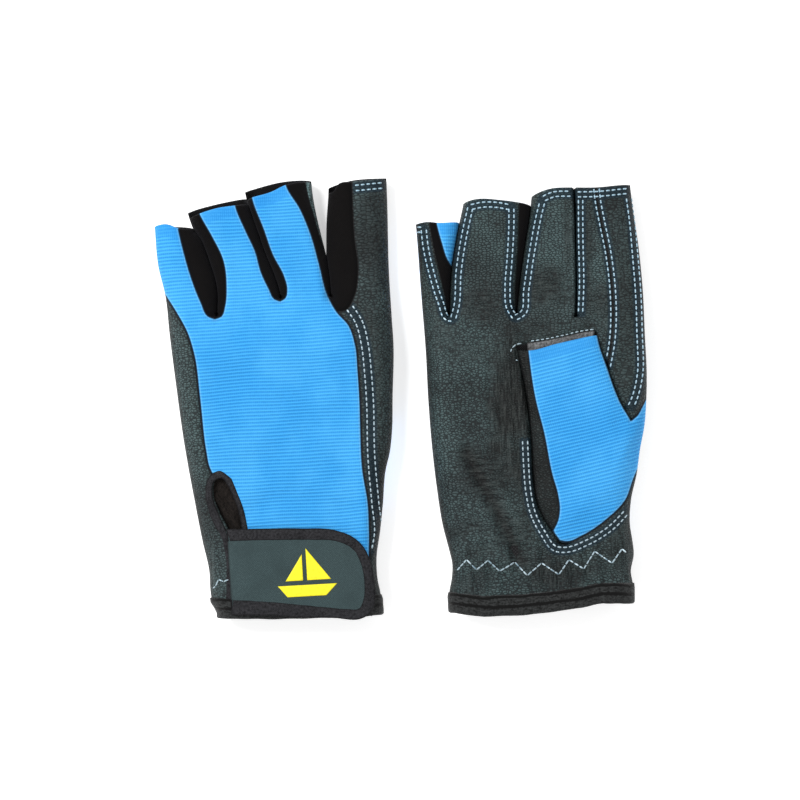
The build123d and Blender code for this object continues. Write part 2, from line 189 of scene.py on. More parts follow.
LEFT = {
    "name": "left",
    "origin": (-45.23, -92.65),
    "turn": 3.25,
    "palm_up": False,
    "middle": 11.0,
    "third_fold": (("index_low", 5.5), ("middle_high", 7.5), ("index_high", 7.5)),
    "little_edge": smooth(
        [
            (-35.5, -9), (-35.3, -3), (-34.6, 1.9), (-36.7, 5.5), (-37.5, 11.5), (-37.5, 19.4),
            (-39.8, 33.7), (-42, 49.6), (-45.5, 78.1), (-47.6, 104), (-49.1, 124.9), (-50.1, 142.1),
            (-52.5, 155.6), (-53.1, 172.6), (-53.3, 180)
        ]
    ),
    "fold_1": smooth(
        [
            (-27.8, 132.6), (-27.2, 143.2), (-30.3, 157.5), (-33.7, 167.2), (-35.9, 170.4),
            (-37.3, 174.4), (-38.6, 180)
        ]
    ),
    "fold_2": smooth([(0.8, 138.8), (-1.5, 148), (-5, 158), (-8.5, 170), (-12.0, 182.8), (-13.2, 191)]),
    "index_low": smooth([(22.8, 138), (22.4, 147), (21.7, 156.1)]),
    "middle_high": smooth([
        (21.7, 156.1), (20.2, 164), (18.4, 174), (17.2, 184), (17.0, 189), (16.8, 194)
    ]),
    "index_high": smooth([(21.7, 156.1), (22.6, 170), (24.2, 183.5), (24.8, 193)]),
    "thumb_edge": smooth(
        [
            (37.2, -9), (37.2, -3), (37.2, 0.2), (37.2, 5.8), (36.3, 12), (36.3, 21.5), (38.5, 33.2),
            (40.4, 44.9), (42.5, 60), (44.8, 68), (46.4, 78), (47.3, 90.8), (49.1, 115.3), (49, 127),
            (48.9, 146.7), (49.9, 178.1), (50.2, 193)
        ]
    ),
    "crotch": np.array([(-54, 128.9), (-27.8, 132.6), (0.8, 138.8), (22.8, 138), (53, 137.7)]),
    "wrist": np.array([(-60, 0.4), (-34, 0.2), (-10, -1.4), (28, -2.6), (60, -1.0)]),
    "fingers": {
        "pinky": ((-38.4, 131.5), -8.0, 135.2),
        "ring": ((-13.7, 134.0), -10.5, 136.4),
        "middle": ((12.8, 137.0), -10.3, 136.6),
        "index": ((37.2, 134.5), 0.5, 138.3),
    },
    "mouths": {
        "back": {
            "pinky": smooth([(-56, 172.3), (-47.5, 173), (-42.6, 170.9), (-34, 170.3)]),
            "ring": smooth([(-39.5, 174.6), (-33.2, 176.6), (-25, 178.7), (-16.5, 179.5), (-10, 180.2)]),
            "middle": smooth([
                (-14.5, 181.5), (-9.7, 182.5), (-1, 184.4), (6.3, 187.3), (13.6, 188.2), (19, 188)
            ]),
            "index": smooth([
                (23, 182.8), (26.5, 183.2), (29.5, 186.6), (34.7, 187), (48.8, 187.6), (52, 187.7)
            ]),
        },
        "palm": {
            "pinky": smooth([(-56, 171.3), (-47, 172), (-34, 170.8)]),
            "ring": smooth([(-40, 177.4), (-35.1, 178.8), (-22, 181.4), (-9.5, 183)]),
            "middle": smooth([(-15.5, 185), (-9.3, 186.4), (4, 189), (14, 189.2), (19, 188.6)]),
            "index": smooth([(23, 185), (34, 187.8), (48.8, 188.3), (52, 188.4)]),
        },
    },
}
RIGHT = {
    "name": "right",
    "origin": (62.37, -89.95),
    "turn": 1.6,
    "palm_up": True,
    "middle": 12.6,
    "third_fold": (("index_low", 1.0), ("middle_high", 1.0)),
    "little_edge": smooth(
        [
            (-40.2, -9), (-40.4, 1.3), (-40.4, 7.1), (-39.2, 13), (-38.8, 20.2), (-39.7, 24.6),
            (-42.4, 36.4), (-44.7, 54), (-46.4, 73.7), (-47.3, 92), (-47.8, 113.1), (-49, 136.5),
            (-50.6, 169.2), (-51.2, 178)
        ]
    ),
    "fold_1": smooth([
        (-37.1, 129.5), (-35.5, 149.1), (-32.7, 163.7), (-31.3, 170), (-29.6, 177), (-28.6, 184)
    ]),
    "fold_2": smooth([(-7.4, 129.5), (-5.9, 141), (-3.1, 158), (-1.2, 168), (0.3, 177), (1.6, 187)]),
    "index_low": smooth([(18.6, 127.1), (19.2, 141), (19.4, 154.8)]),
    "middle_high": smooth([(19.4, 154.8), (19.5, 176.8), (19.3, 190)]),
    "index_high": smooth([(19.4, 154.8), (19.5, 176.8), (19.3, 190)]),
    "thumb_edge": smooth(
        [
            (40.2, -9), (40.3, 3.4), (40.3, 9.6), (39.7, 13.6), (41.2, 21.7), (40.6, 28.9), (39.9, 34.1),
            (40.7, 45.7), (43.4, 56.6), (45.2, 67.5), (47.5, 78.3), (48.6, 89.3), (49.1, 100),
            (48.8, 117.5), (48.5, 139.5), (47.2, 157.7), (44.8, 177.5), (44.1, 190)
        ]
    ),
    "crotch": np.array([(-54, 129.5), (-37.1, 129.5), (-7.4, 129.5), (18.6, 127.1), (53, 127.4)]),
    "wrist": np.array([
        (-60, -1.0), (-38.3, -1.0), (-25.9, -2.8), (-6.9, -2.6), (10.6, -0.9), (26.8, 1.5), (60, 0.6)
    ]),
    "fingers": {
        "pinky": ((-41.3, 129.0), 0.0, 129.6),
        "ring": ((-20.6, 130.0), 5.0, 128.5),
        "middle": ((5.0, 130.0), 6.5, 128.5),
        "index": ((34.2, 128.5), -0.5, 127.2),
    },
    "mouths": {
        "palm": {
            "pinky": smooth([(-54, 169.1), (-50.6, 169.3), (-44.4, 169.6), (-41.9, 169.2), (-29, 169.6)]),
            "ring": smooth([
                (-31.5, 176.8), (-28.2, 178.1), (-23, 179.1), (-13.5, 178.4), (-4.8, 177), (2, 175.6)
            ]),
            "middle": smooth([(-1, 179.2), (3.3, 181), (8.5, 182.6), (20.5, 183)]),
            "index": smooth([(18, 183), (28.2, 182.7), (44.3, 183.9), (47, 184.1)]),
        },
        "back": {
            "pinky": smooth([(-54, 167.6), (-41, 168.6), (-29, 169)]),
            "ring": smooth([(-31.5, 174.6), (-23, 176.8), (-13.5, 176.6), (2, 174.6)]),
            "middle": smooth([(-1, 177), (8.5, 180.4), (20.5, 180.6)]),
            "index": smooth([(18, 181.6), (28.2, 181.4), (47, 182.4)]),
        },
    },
}
FINGER_SIDES = {
    "pinky": (["little_edge"], ["fold_1"]),
    "ring": (["fold_1"], ["fold_2"]),
    "middle": (["fold_2"], ["index_low", "middle_high"]),
    "index": (["index_low", "index_high"], ["thumb_edge"]),
}

# Borders of the stretch fabric and the leather on the back, as worn by both gloves
SLOT = [
    (-27.5, -8), (-27.5, 36), (-31.5, 45), (-34, 54), (-32.6, 60.4), (-29, 61.6), (-25.6, 57),
    (-22.6, 47), (-21.0, 38), (-21.0, -8)
]
BACK_THUMB_BORDER = [
    (32.6, 116.1), (33.1, 104.4), (33.2, 91.6), (32.9, 80.7), (32.7, 61.1), (34.3, 45.2), (34.1, 33.4),
    (33.2, 20), (32.6, -8)
]
slot_line = joined(smooth(SLOT[:3]), smooth(SLOT[2:-1])[1:], smooth(SLOT[-2:])[1:])

LEFT["blue_little"] = smooth([
    (-32.6, 60.4), (-35, 66), (-36, 73), (-37.4, 96.5), (-39, 116.4), (-41, 124.4), (-46, 135),
    (-50.1, 142.1), (-55, 150)
])
LEFT["blue_pinky"] = smooth([
    (-28.6, 131.0), (-31.3, 132.2), (-34.0, 138.2), (-37.9, 150.1), (-40.1, 159.6), (-41.8, 168.5),
    (-42.9, 176)
])
LEFT["blue_ring_left"] = smooth([
    (-28.6, 131.0), (-26.0, 131.9), (-24.2, 136.4), (-23.2, 144.6), (-23.8, 155.6), (-28.3, 166.9),
    (-32.6, 175.6), (-34.8, 181)
])
LEFT["blue_ring_right"] = smooth([
    (0.4, 137.2), (-1.8, 138.2), (-3.8, 142.4), (-6.8, 149.8), (-9, 159.5), (-12.5, 168.3),
    (-16.5, 179.5), (-17.6, 186)
])
LEFT["blue_middle_left"] = smooth([
    (0.4, 137.2), (2.5, 138.4), (3.4, 142), (2.5, 147), (-2.1, 157.5), (-5.4, 168.7), (-9.7, 182.3),
    (-10.6, 190)
])
LEFT["blue_thumb"] = smooth(
    [
        (5.2, 192), (6.3, 187.3), (11.7, 177.1), (15.7, 165.9), (18.9, 151.6), (21.6, 138.6), (25.2, 131),
        (30.2, 124.6)
    ] + BACK_THUMB_BORDER
)
LEFT["middle_strip"] = smooth([(21.7, 156.1), (19.6, 162.4), (16.9, 174), (14.9, 183), (13.6, 194)])
LEFT["leather_index"] = smooth([
    (25.2, 131), (28.9, 131.4), (33, 137.2), (35.2, 147.4), (34.5, 163.3), (34.7, 186.8), (34.8, 193)
])
RIGHT["blue_little"] = smooth([
    (-32.6, 60.4), (-35, 66), (-36, 73), (-37.4, 96.5), (-39, 113), (-42.5, 124.4), (-48.5, 136),
    (-54, 146)
])
RIGHT["blue_pinky"] = beside(RIGHT["fold_1"], -3.0, 14)
RIGHT["blue_ring_left"] = beside(RIGHT["fold_1"], 3.0, 14)
RIGHT["blue_ring_right"] = beside(RIGHT["fold_2"], -3.5, 14)
RIGHT["blue_middle_left"] = beside(RIGHT["fold_2"], 3.5, 14)
RIGHT["blue_thumb"] = smooth(
    [
        (14.5, 192), (15.2, 178), (16.2, 150), (17.4, 134), (20.5, 126), (26.5, 121), (30.6, 118)
    ] + BACK_THUMB_BORDER[1:]
)
RIGHT["leather_index"] = smooth([(20.5, 126), (24, 128.5), (26.5, 138), (26, 160), (26, 192)])

# The palm: leather in two parts, and on one glove a turned little finger
LEFT["palm_seam"] = smooth([(36, 193), (36, 165), (36.4, 140), (34.5, 114.3), (31.5, 104.3)])
RIGHT["palm_seam"] = smooth([
    (28.6, 190), (29.5, 177.2), (31.2, 166.9), (33.4, 154.4), (34.9, 136.1), (33.6, 114.3), (31.5, 104.3)
])
LEFT["palm_pinky"] = beside(LEFT["fold_1"], -3.0, 16)
LEFT["palm_ring_right"] = beside(LEFT["fold_2"], -3.0, 16)
LEFT["palm_middle_left"] = beside(LEFT["fold_2"], 2.0, 16)
LEFT["palm_middle_right"] = beside(joined(LEFT["index_low"], LEFT["middle_high"][1:]), -2.5, 16)
LEFT["palm_index_left"] = beside(joined(LEFT["index_low"], LEFT["index_high"][1:]), 2.5, 16)
RIGHT["palm_pinky"] = smooth([
    (-37.1, 129.5), (-38.6, 138), (-40.7, 147.8), (-43.2, 160.2), (-44.4, 169), (-44.8, 176)
])
RIGHT["pinky_wedge"] = smooth([(-35.4, 149.8), (-37.4, 153), (-39.8, 160.6), (-41.9, 169.3), (-43, 176)])
RIGHT["palm_ring_right"] = smooth([
    (-7.4, 129.5), (-7.3, 140), (-6.7, 148.2), (-5.7, 159.2), (-4.8, 176.7), (-4.4, 184)
])

# Thumb stall, and the stretch fabric at its root
CREASE = smooth([(8.5, 28.3), (41.4, 80.7)])
thumb_left = smooth([
    (8.5, 28.3), (5.3, 33.0), (2.2, 38.0), (-0.6, 45), (-2.0, 56), (-2.4, 70), (-3.4, 85), (-5.2, 99),
    (-7.8, 112.6), (-8.7, 119)
])
thumb_right = smooth([
    (41.4, 80.7), (37.2, 88.3), (34.2, 96), (31.4, 105), (29.0, 112.3), (27.8, 118), (27.2, 124)
])
thumb_blue_edge = smooth([
    (5.3, 33.0), (7.6, 37.5), (8.5, 42.2), (7.9, 49), (5.7, 57.6), (2.6, 76), (-0.7, 90.7), (-3.3, 111.9),
    (-3.9, 119)
])
thumb_mouth_out = smooth([
    (-14, 113.2), (-7.6, 112.4), (-3.3, 111.9), (10, 114.6), (26.6, 117.8), (34, 119)
])
thumb_mouth_in = smooth([
    (-14, 114.4), (-8.1, 114.4), (-2.9, 115.4), (12, 117.2), (21.3, 119), (34, 120.6)
])
thumb_seam = smooth([
    (8.5, 28.3), (12.2, 27.9), (18.6, 30.3), (29.8, 37.4), (38.4, 45.8), (42.2, 55.0), (48, 66)
])
tongue_seam = smooth([(41.4, 80.7), (44.0, 82.8), (46.2, 86.4), (50, 93)])
dent_top = smooth([
    (-9.4, 114.0), (-8.4, 116.2), (-3, 117.0), (12, 119.0), (21, 120.8), (28.0, 121.6), (29.4, 118.6)
])
dent_line = joined(beside(thumb_left[:-6], -1.6), dent_top, beside(thumb_right[:-5], 1.6)[::-1])
dent_polygon = joined(CREASE[:1] + (3, -2), dent_line, CREASE[-1:] + (3, -2))
thumb_stall = between(thumb_left, thumb_right)
thumb_root = joined(CREASE, tongue_seam, np.array([(80, 95), (80, 30)]), thumb_seam[::-1])
crease_along = (CREASE[-1] - CREASE[0]) / np.linalg.norm(CREASE[-1] - CREASE[0])


def hull_of(glove):
    return between(glove["little_edge"], glove["thumb_edge"])


def knuckle_share(y):
    """0 on the hand and 1 on the finger stalls."""
    return ease((y - KNUCKLE_START) / (KNUCKLE_END - KNUCKLE_START))


# Seams of each face, in the order in which a mesh takes them up
SEAMS = {
    "back": (
        ["blue_little", "blue_pinky", "blue_ring_left", "blue_ring_right", "blue_middle_left"]
        + ["blue_thumb", "leather_index", "middle_strip"]
    ),
    "palm": (
        ["palm_pinky", "pinky_wedge", "palm_ring_right", "palm_middle_left", "palm_middle_right"]
        + ["palm_index_left", "palm_seam"]
    ),
}


def plan_lines(glove, face):
    """The lines drawn on a face: tube edges with how far each is rounded, seams, and cuts."""
    edges = [(glove["little_edge"], SIDE_REACH), (glove["thumb_edge"], SIDE_REACH)]
    edges += [(glove[key], FOLD_REACH) for key in ("fold_1", "fold_2")]
    edges += [(glove[key], reach) for key, reach in glove["third_fold"]]
    seams = [glove[key] for key in SEAMS[face] if key in glove]
    if face == "back":
        return edges, seams, [slot_line]
    return edges, seams + [thumb_seam, tongue_seam], [CREASE]


# ---- The tubes' heights ----


def middle_of(glove, y):
    return glove["middle"] + (FINGER_MIDDLE - glove["middle"]) * knuckle_share(y)


def up_of(glove, face):
    """1 for the face that looks up as the glove lies, and -1 for the one on the floor."""
    return 1 if (face == "palm") == glove["palm_up"] else -1


def pillow(glove, points, face):
    """How near each point is to a tube's edge, from 0 to 1, and its rise before any detail."""
    edges = plan_lines(glove, face)[0]
    t = np.full(len(points), 1e6)
    for line, reach in edges:
        t = np.minimum(t, distance(points, [line]) / reach)
    t = np.clip(t, 0, 1)
    half = HAND_RISE + (FINGER_RISE - HAND_RISE) * knuckle_share(points[:, 1])
    return t, half * rounding(t)


# Creases: each one's line, width and depth
FOLDS = {
    ("left", "back"): [
        ([(-16, 66), (2, 74), (20, 84)], 5.0, 0.35),
        ([(-30, 100), (-6, 108), (14, 104)], 6.0, 0.3),
        ([(-18, 46), (0, 50), (22, 44)], 4.0, 0.4),
        ([(38, 60), (37.5, 80), (40, 100)], 2.5, 0.5),
        ([(2, 122), (8, 106), (10, 88)], 6.0, 0.35),
    ],
    ("right", "palm"): [
        ([(-31, 68), (-26, 58), (-18, 42), (-8.9, 20.5)], 3.0, 1.5),
        ([(-9, 116), (-9.5, 96), (-8.0, 64)], 2.0, 0.7),
        ([(-13.5, 114), (-15, 94), (-13, 66)], 1.8, 0.6),
        ([(-19, 110), (-20, 90), (-18, 72)], 1.8, 0.5),
        ([(-42, 30), (-30, 36), (-16, 34)], 2.5, 0.55),
        ([(-44, 118), (-24, 112), (4, 121)], 3.5, 0.45),
        ([(-30, 24), (-20, 27), (-6, 25)], 2.2, 0.5),
        ([(20, 121), (30, 124), (45, 121)], 2.6, 0.45),
        ([(38, 100), (41, 110), (40, 126)], 3.0, 0.35),
    ],
}


# Darker leather, as painted shade at finger roots, folds and sides and as darker patches, in ellipses:
# centre, half width and height, strength, and 1 for upright streaks
SHADE_AND_DARK_PATCHES = {
    ("right", "palm"): [
        (-11, 90, 12, 34, 1.0, 1),
        (-6, 60, 7, 16, 0.8, 1),
        (-24, 133, 15, 9, 0.6, 0),
        (4, 141, 14, 11, 0.85, 0),
        (23.5, 150, 3.5, 30, 0.8, 0),
        (30, 132, 12, 10, 0.55, 0),
        (16, 160, 2.6, 22, 0.6, 1),
        (-40, 126, 8, 10, 0.4, 0),
        (-22, 58, 13, 11, 0.55, 0),
        (-12, 34, 12, 11, 0.65, 0),
        (8, 14, 22, 7, 0.7, 1),
        (-30, 10, 10, 8, 0.4, 1),
        (36, 26, 6, 12, 0.5, 1),
        (38, 150, 6, 22, 0.35, 1),
    ],
    ("left", "back"): [
        (42, 160, 8, 26, 0.45, 0),
        (40, 116, 9, 24, 0.35, 0),
        (36.5, 30, 5, 30, 0.5, 1),
        (-34, 40, 8, 26, 0.3, 0),
    ],
    ("left", "palm"): [(-11, 90, 12, 34, 0.8, 1), (4, 141, 14, 11, 0.6, 0), (-16, 36, 12, 12, 0.5, 0)],
    ("right", "back"): [(42, 150, 8, 26, 0.4, 0), (36.5, 30, 5, 30, 0.4, 1)],
}


def creases(glove, points, face):
    """Each crease of a face, as the distance of each point from it, its width and its depth."""
    for line, width, depth in FOLDS.get((glove["name"], face), []):
        yield distance(points, [smooth(line, 3)]), width, depth


def shade_and_dark_patches(glove, points, face):
    """How dark the leather is painted, as painted shade along its creases, at finger roots and towards
    its sides and as darker patches, and how upright its streaks are, each from 0 to 1.
    """
    worn, upright = np.zeros(len(points)), np.zeros(len(points))
    # painted shade along each crease
    for off, width, depth in creases(glove, points, face):
        worn = np.maximum(worn, min(1, 0.9 * depth) * bell(off, 1.6 * width))
    x, y = points.T
    edge = 0.3 * ripple(points, 9, 11) + 0.15 * ripple(points, 4, 12)
    # painted shade at finger roots, folds and sides, and darker patches, from the ellipses
    for cx, cy, wide, tall, strength, streaks in SHADE_AND_DARK_PATCHES[glove["name"], face]:
        away = np.sqrt(((x - cx) / wide) ** 2 + ((y - cy) / tall) ** 2) + edge
        share = ease((1.25 - away) / 0.8)
        worn = np.maximum(worn, strength * share)
        upright = np.maximum(upright, streaks * share)
    return worn, upright


def relief(glove, points, face, seams, rows):
    """Sewn seams, stitched rows, creases and gathers, as a change of rise."""
    gap = distance(points, seams)
    change = -SEAM_SINK * bell(gap, SEAM_WIDTH) + 0.3 * bell(gap - 2.8, 1.6)
    if rows:
        change -= ROW_SINK * bell(distance(points, rows), ROW_WIDTH)
    for off, width, depth in creases(glove, points, face):
        change += depth * (0.45 * bell(off - 1.9 * width, width) - bell(off, width))
    change += sum(height * ripple(points, size, seed) for height, size, seed in BUMPS)
    x, y = points.T
    sway = 3 * ripple(points, 22, 4)
    gather = bell(y - GATHER_Y, 11) * (0.85 if face == "palm" else 0.2)
    return change + gather * np.sin((x + sway + 0.12 * y) * 2 * math.pi / GATHER_PITCH)


def tip_room(points):
    """0 at the thumb's open tip, growing to 1 behind it."""
    return ease(distance(points, [thumb_mouth_in]) / THUMB_TIP_LENGTH) * under(points, thumb_mouth_in)


def dent(points, rise):
    """The palm sinks under the thumb, less at its tip."""
    deep = ease(distance(points, [dent_line]) / 3.6) * inside(points, dent_polygon)
    floor = DENT_FLOOR + 2.9 * (1 - tip_room(points))
    return rise + (floor - rise) * deep * (rise > floor)


def face_rise(glove, points, face):
    """Rise of a face's outer and inner skins."""
    t, rise = pillow(glove, points, face)
    if face == "palm":
        rise = dent(points, rise)
    detail = relief(glove, points, face, plan_lines(glove, face)[1], rows_of(glove, face))
    rise = rise + detail * np.clip(t * 2.2, 0, 1)
    return rise, rise - THICK * rounding(t)


def beyond_crease(points):
    """Distance past the thumb's crease, on the thumb's side."""
    to = points - CREASE[0]
    return to[:, 1] * crease_along[0] - to[:, 0] * crease_along[1]


def thumb_outer_rise(glove, points):
    t, rise = pillow(glove, points, "palm")
    base = rise + relief(glove, points, "palm", [thumb_seam, tongue_seam], []) * np.clip(t * 2.2, 0, 1)
    from_edge = distance(points, [thumb_left, thumb_right])
    from_seam = distance(points, [thumb_seam, tongue_seam])
    edge_lift = THUMB_EDGE + (THUMB_CROWN - THUMB_EDGE) * rounding(from_edge / 7.5)
    seam_lift = THUMB_CROWN * ease(from_seam / 12)
    strip = -0.35 * bell(distance(points, [thumb_blue_edge]), 0.7)
    lift = np.minimum(edge_lift, np.where(beyond_crease(points) > 8, THUMB_CROWN, seam_lift))
    near = np.minimum(from_edge, 9) / 9
    lift = np.where(
        from_seam < 12, np.minimum(seam_lift, lift), lift
    ) * np.clip(t * 1.5, 0, 1) + strip * near
    return base + lift


def thumb_inner_rise(glove, points):
    plain = pillow(glove, points, "palm")[1]
    depth = 1.5 + (THUMB_DEPTH - 1.5) * tip_room(points)
    rise = plain + THUMB_EDGE - depth * rounding(distance(points, [thumb_left, thumb_right]) / 8)
    rise += 0.2 * ripple(points, 9, 6)
    root = face_rise(glove, points, "palm")[0]
    return root + (rise - root) * ease(beyond_crease(points) / 6)


# ---- Stitched rows ----


def pair(line, gap, centre=0.0):
    return [beside(line, centre - gap / 2), beside(line, centre + gap / 2)]


BACK_ROW = smooth([
    (30.6, 132.6), (34.4, 126), (36.5, 116), (37.2, 104), (37.4, 91.5), (36.6, 66.4), (37.2, 45.2),
    (37.6, 33.3), (35.6, 24)
])
INDEX_BACK_ROW = smooth([(35.8, 184.6), (49, 185.2)])
RIGHT_ROWS = {
    "pinky_top": smooth([(-50.4, 167.0), (-47.2, 166.8)]),
    "pinky": smooth([
        (-47.2, 167.2), (-46.6, 160), (-44.0, 146.5), (-40.6, 134.5), (-37.6, 127.4), (-35.4, 127.2)
    ]),
    "ring_left": smooth([(-35.4, 127.2), (-33.9, 132), (-32.4, 147.5), (-29.6, 163), (-26.4, 176)]),
    "ring_top": smooth([(-26.4, 176), (-21.5, 177), (-13.6, 176.6), (-8.4, 175.4)]),
    "ring_right": smooth([
        (-8.4, 175.4), (-8.6, 168), (-9.9, 152), (-11.1, 140), (-10.6, 131), (-8.2, 126.9)
    ]),
    "middle_left": smooth([
        (-8.2, 126.9), (-5.0, 128.4), (-2.9, 139), (0.2, 156), (3.2, 170), (5.6, 178.8)
    ]),
    "middle_top": smooth([(5.6, 178.8), (9.5, 180.5), (18.2, 180.8)]),
}
MIDDLE_GAP_ROW = smooth([(21.4, 178.4), (21.0, 160), (20.8, 141), (19.8, 127.6)])
INDEX_TOP_ROW = smooth([(20.4, 180.4), (28.2, 180.3), (43.6, 181.4)])
THUMB_SIDE_ROW = smooth([
    (43.4, 178.6), (44.5, 168.7), (45.4, 154.1), (46.2, 138), (46.2, 117.6), (45.9, 101), (44.4, 94),
    (42.6, 89), (41, 86)
])
THUMB_HOLE_ROW = smooth([
    (-5.4, 73.2), (-5.2, 61.6), (-4.6, 50.7), (-2.6, 40.2), (1.4, 32), (6.4, 25.2), (11.8, 24.6),
    (19.4, 27), (30.6, 33.2), (39.4, 41.4)
])
ZIGZAG = [
    (-36.7, 16.8), (-32.5, 21.5), (-28.3, 16.9), (-23.1, 20.9), (-18.1, 16), (-11.4, 19.8), (-6.1, 13.8),
    (0.3, 19.1), (7.8, 13.8), (12.3, 20.2), (18.8, 16), (23.7, 23.6), (31.2, 18.2), (35.8, 24.3),
    (37.6, 22.6)
]


def rows_of(glove, face):
    """Rows of stitches on a face."""
    if face == "back":
        return pair(BACK_ROW, 3.0) + ([] if glove["palm_up"] else pair(INDEX_BACK_ROW, 2.4))
    rows = pair(THUMB_HOLE_ROW, 2.2)
    if glove["palm_up"]:
        for line in RIGHT_ROWS.values():
            rows += pair(line, 2.2)
        rows += pair(MIDDLE_GAP_ROW, 1.9, -0.7) + pair(INDEX_TOP_ROW, 2.2) + pair(THUMB_SIDE_ROW, 2.4)
        rows += pair(glove["palm_seam"][6:], 2.4, -0.2)
    else:
        rows += pair(glove["palm_seam"][8:], 2.4, -0.2)
        for key, centre in (("palm_pinky", -2.2), ("palm_ring_right", -2.2), ("palm_middle_left", 2.2)):
            rows += pair(glove[key][:-7], 2.0, centre)
    return rows


# ---- Meshes ----


def plan_mesh(lines, wanted, spacing, rows):
    """Triangles in the plan that follow every line, where wanted(points) is true."""
    corners = np.vstack([line for line, _ in lines])
    pieces = [corners]
    links = []
    at = 0
    for line, _ in lines:
        links += [(at + k, at + k + 1) for k in range(len(line) - 1)]
        at += len(line)
    every = [line for line, _ in lines]
    for line, fine in lines:
        for row in rows[fine]:
            for side in (-row, row):
                near = beside(line, side)
                pieces.append(near[distance(near, every) > 0.85 * row])
    low, high = corners.min(0), corners.max(0)
    grid = []
    for j, y in enumerate(np.arange(low[1], high[1], spacing * 0.866)):
        xs = np.arange(low[0] + (j % 2) * spacing / 2, high[0], spacing)
        grid.append(np.column_stack([xs, np.full(len(xs), y)]))
    grid = np.vstack(grid)
    grid = grid[wanted(grid)]
    reach = max(rows[fine][-1] for _, fine in lines)
    pieces.append(grid[distance(grid, every) > min(reach, 2.0) + 0.35 * spacing])
    extra = np.vstack(pieces[1:])
    seen = set()
    keep = []
    for k, (x, y) in enumerate(extra):
        cell = (round(x / 0.3), round(y / 0.3))
        if cell not in seen:
            seen.add(cell)
            keep.append(k)
    extra = extra[keep]
    extra = extra[wanted(extra)]
    points = np.vstack([corners, extra])
    found = delaunay_2d_cdt([Vector(p) for p in points], links, [], 0, 1e-4, True)
    xy = np.array([tuple(p) for p in found[0]])
    faces = np.array([f for f in found[2] if len(f) == 3])
    a, b, c = xy[faces[:, 0]], xy[faces[:, 1]], xy[faces[:, 2]]
    turn = (b[:, 0] - a[:, 0]) * (c[:, 1] - a[:, 1]) - (b[:, 1] - a[:, 1]) * (c[:, 0] - a[:, 0])
    faces[turn < 0] = faces[turn < 0][:, ::-1]
    faces = faces[np.abs(turn) > 1e-5]
    centres = xy[faces].mean(1)
    good = wanted(centres)
    return xy, faces[good], centres[good]


def open_edges(faces):
    """The sides that only one face has, each as its two corners and that face."""
    found = {}
    for k, f in enumerate(faces):
        for a, b in ((f[0], f[1]), (f[1], f[2]), (f[2], f[0])):
            found.setdefault((min(a, b), max(a, b)), []).append((a, b, k))
    return [sides[0] for sides in found.values() if len(sides) == 1]


def placed(glove, xyz):
    """Glove points in mm as points of the shared frame in metres, none of them in the floor."""
    a = math.radians(glove["turn"])
    x, y, z = np.asarray(xyz, float).T
    ox, oy = glove["origin"]
    east = ox + x * math.cos(a) - y * math.sin(a)
    north = oy + x * math.sin(a) + y * math.cos(a)
    return np.column_stack([east, north, np.maximum(z, FLOOR_GAP)]) / 1000


def make_object(name, vertices, faces, material, normals, values):
    """A smooth mesh with one material, and with values stored at its points for the material to read."""
    mesh = bpy.data.meshes.new(name)
    mesh.from_pydata([tuple(v) for v in vertices], [], [tuple(int(i) for i in f) for f in faces])
    mesh.materials.append(material)
    mesh.polygons.foreach_set("use_smooth", [True] * len(mesh.polygons))
    for key, numbers in values.items():
        kind = "FLOAT_VECTOR" if numbers.ndim == 2 else "FLOAT"
        slot = mesh.attributes.new(key, kind, "POINT")
        slot.data.foreach_set(
            "vector" if numbers.ndim == 2 else "value", numbers.astype(np.float32).ravel()
        )
    mesh.update()
    if normals is not None:
        mesh.normals_split_custom_set_from_vertices([tuple(n) for n in normals])
    piece = bpy.data.objects.new(name, mesh)
    bpy.context.scene.collection.objects.link(piece)
    return piece


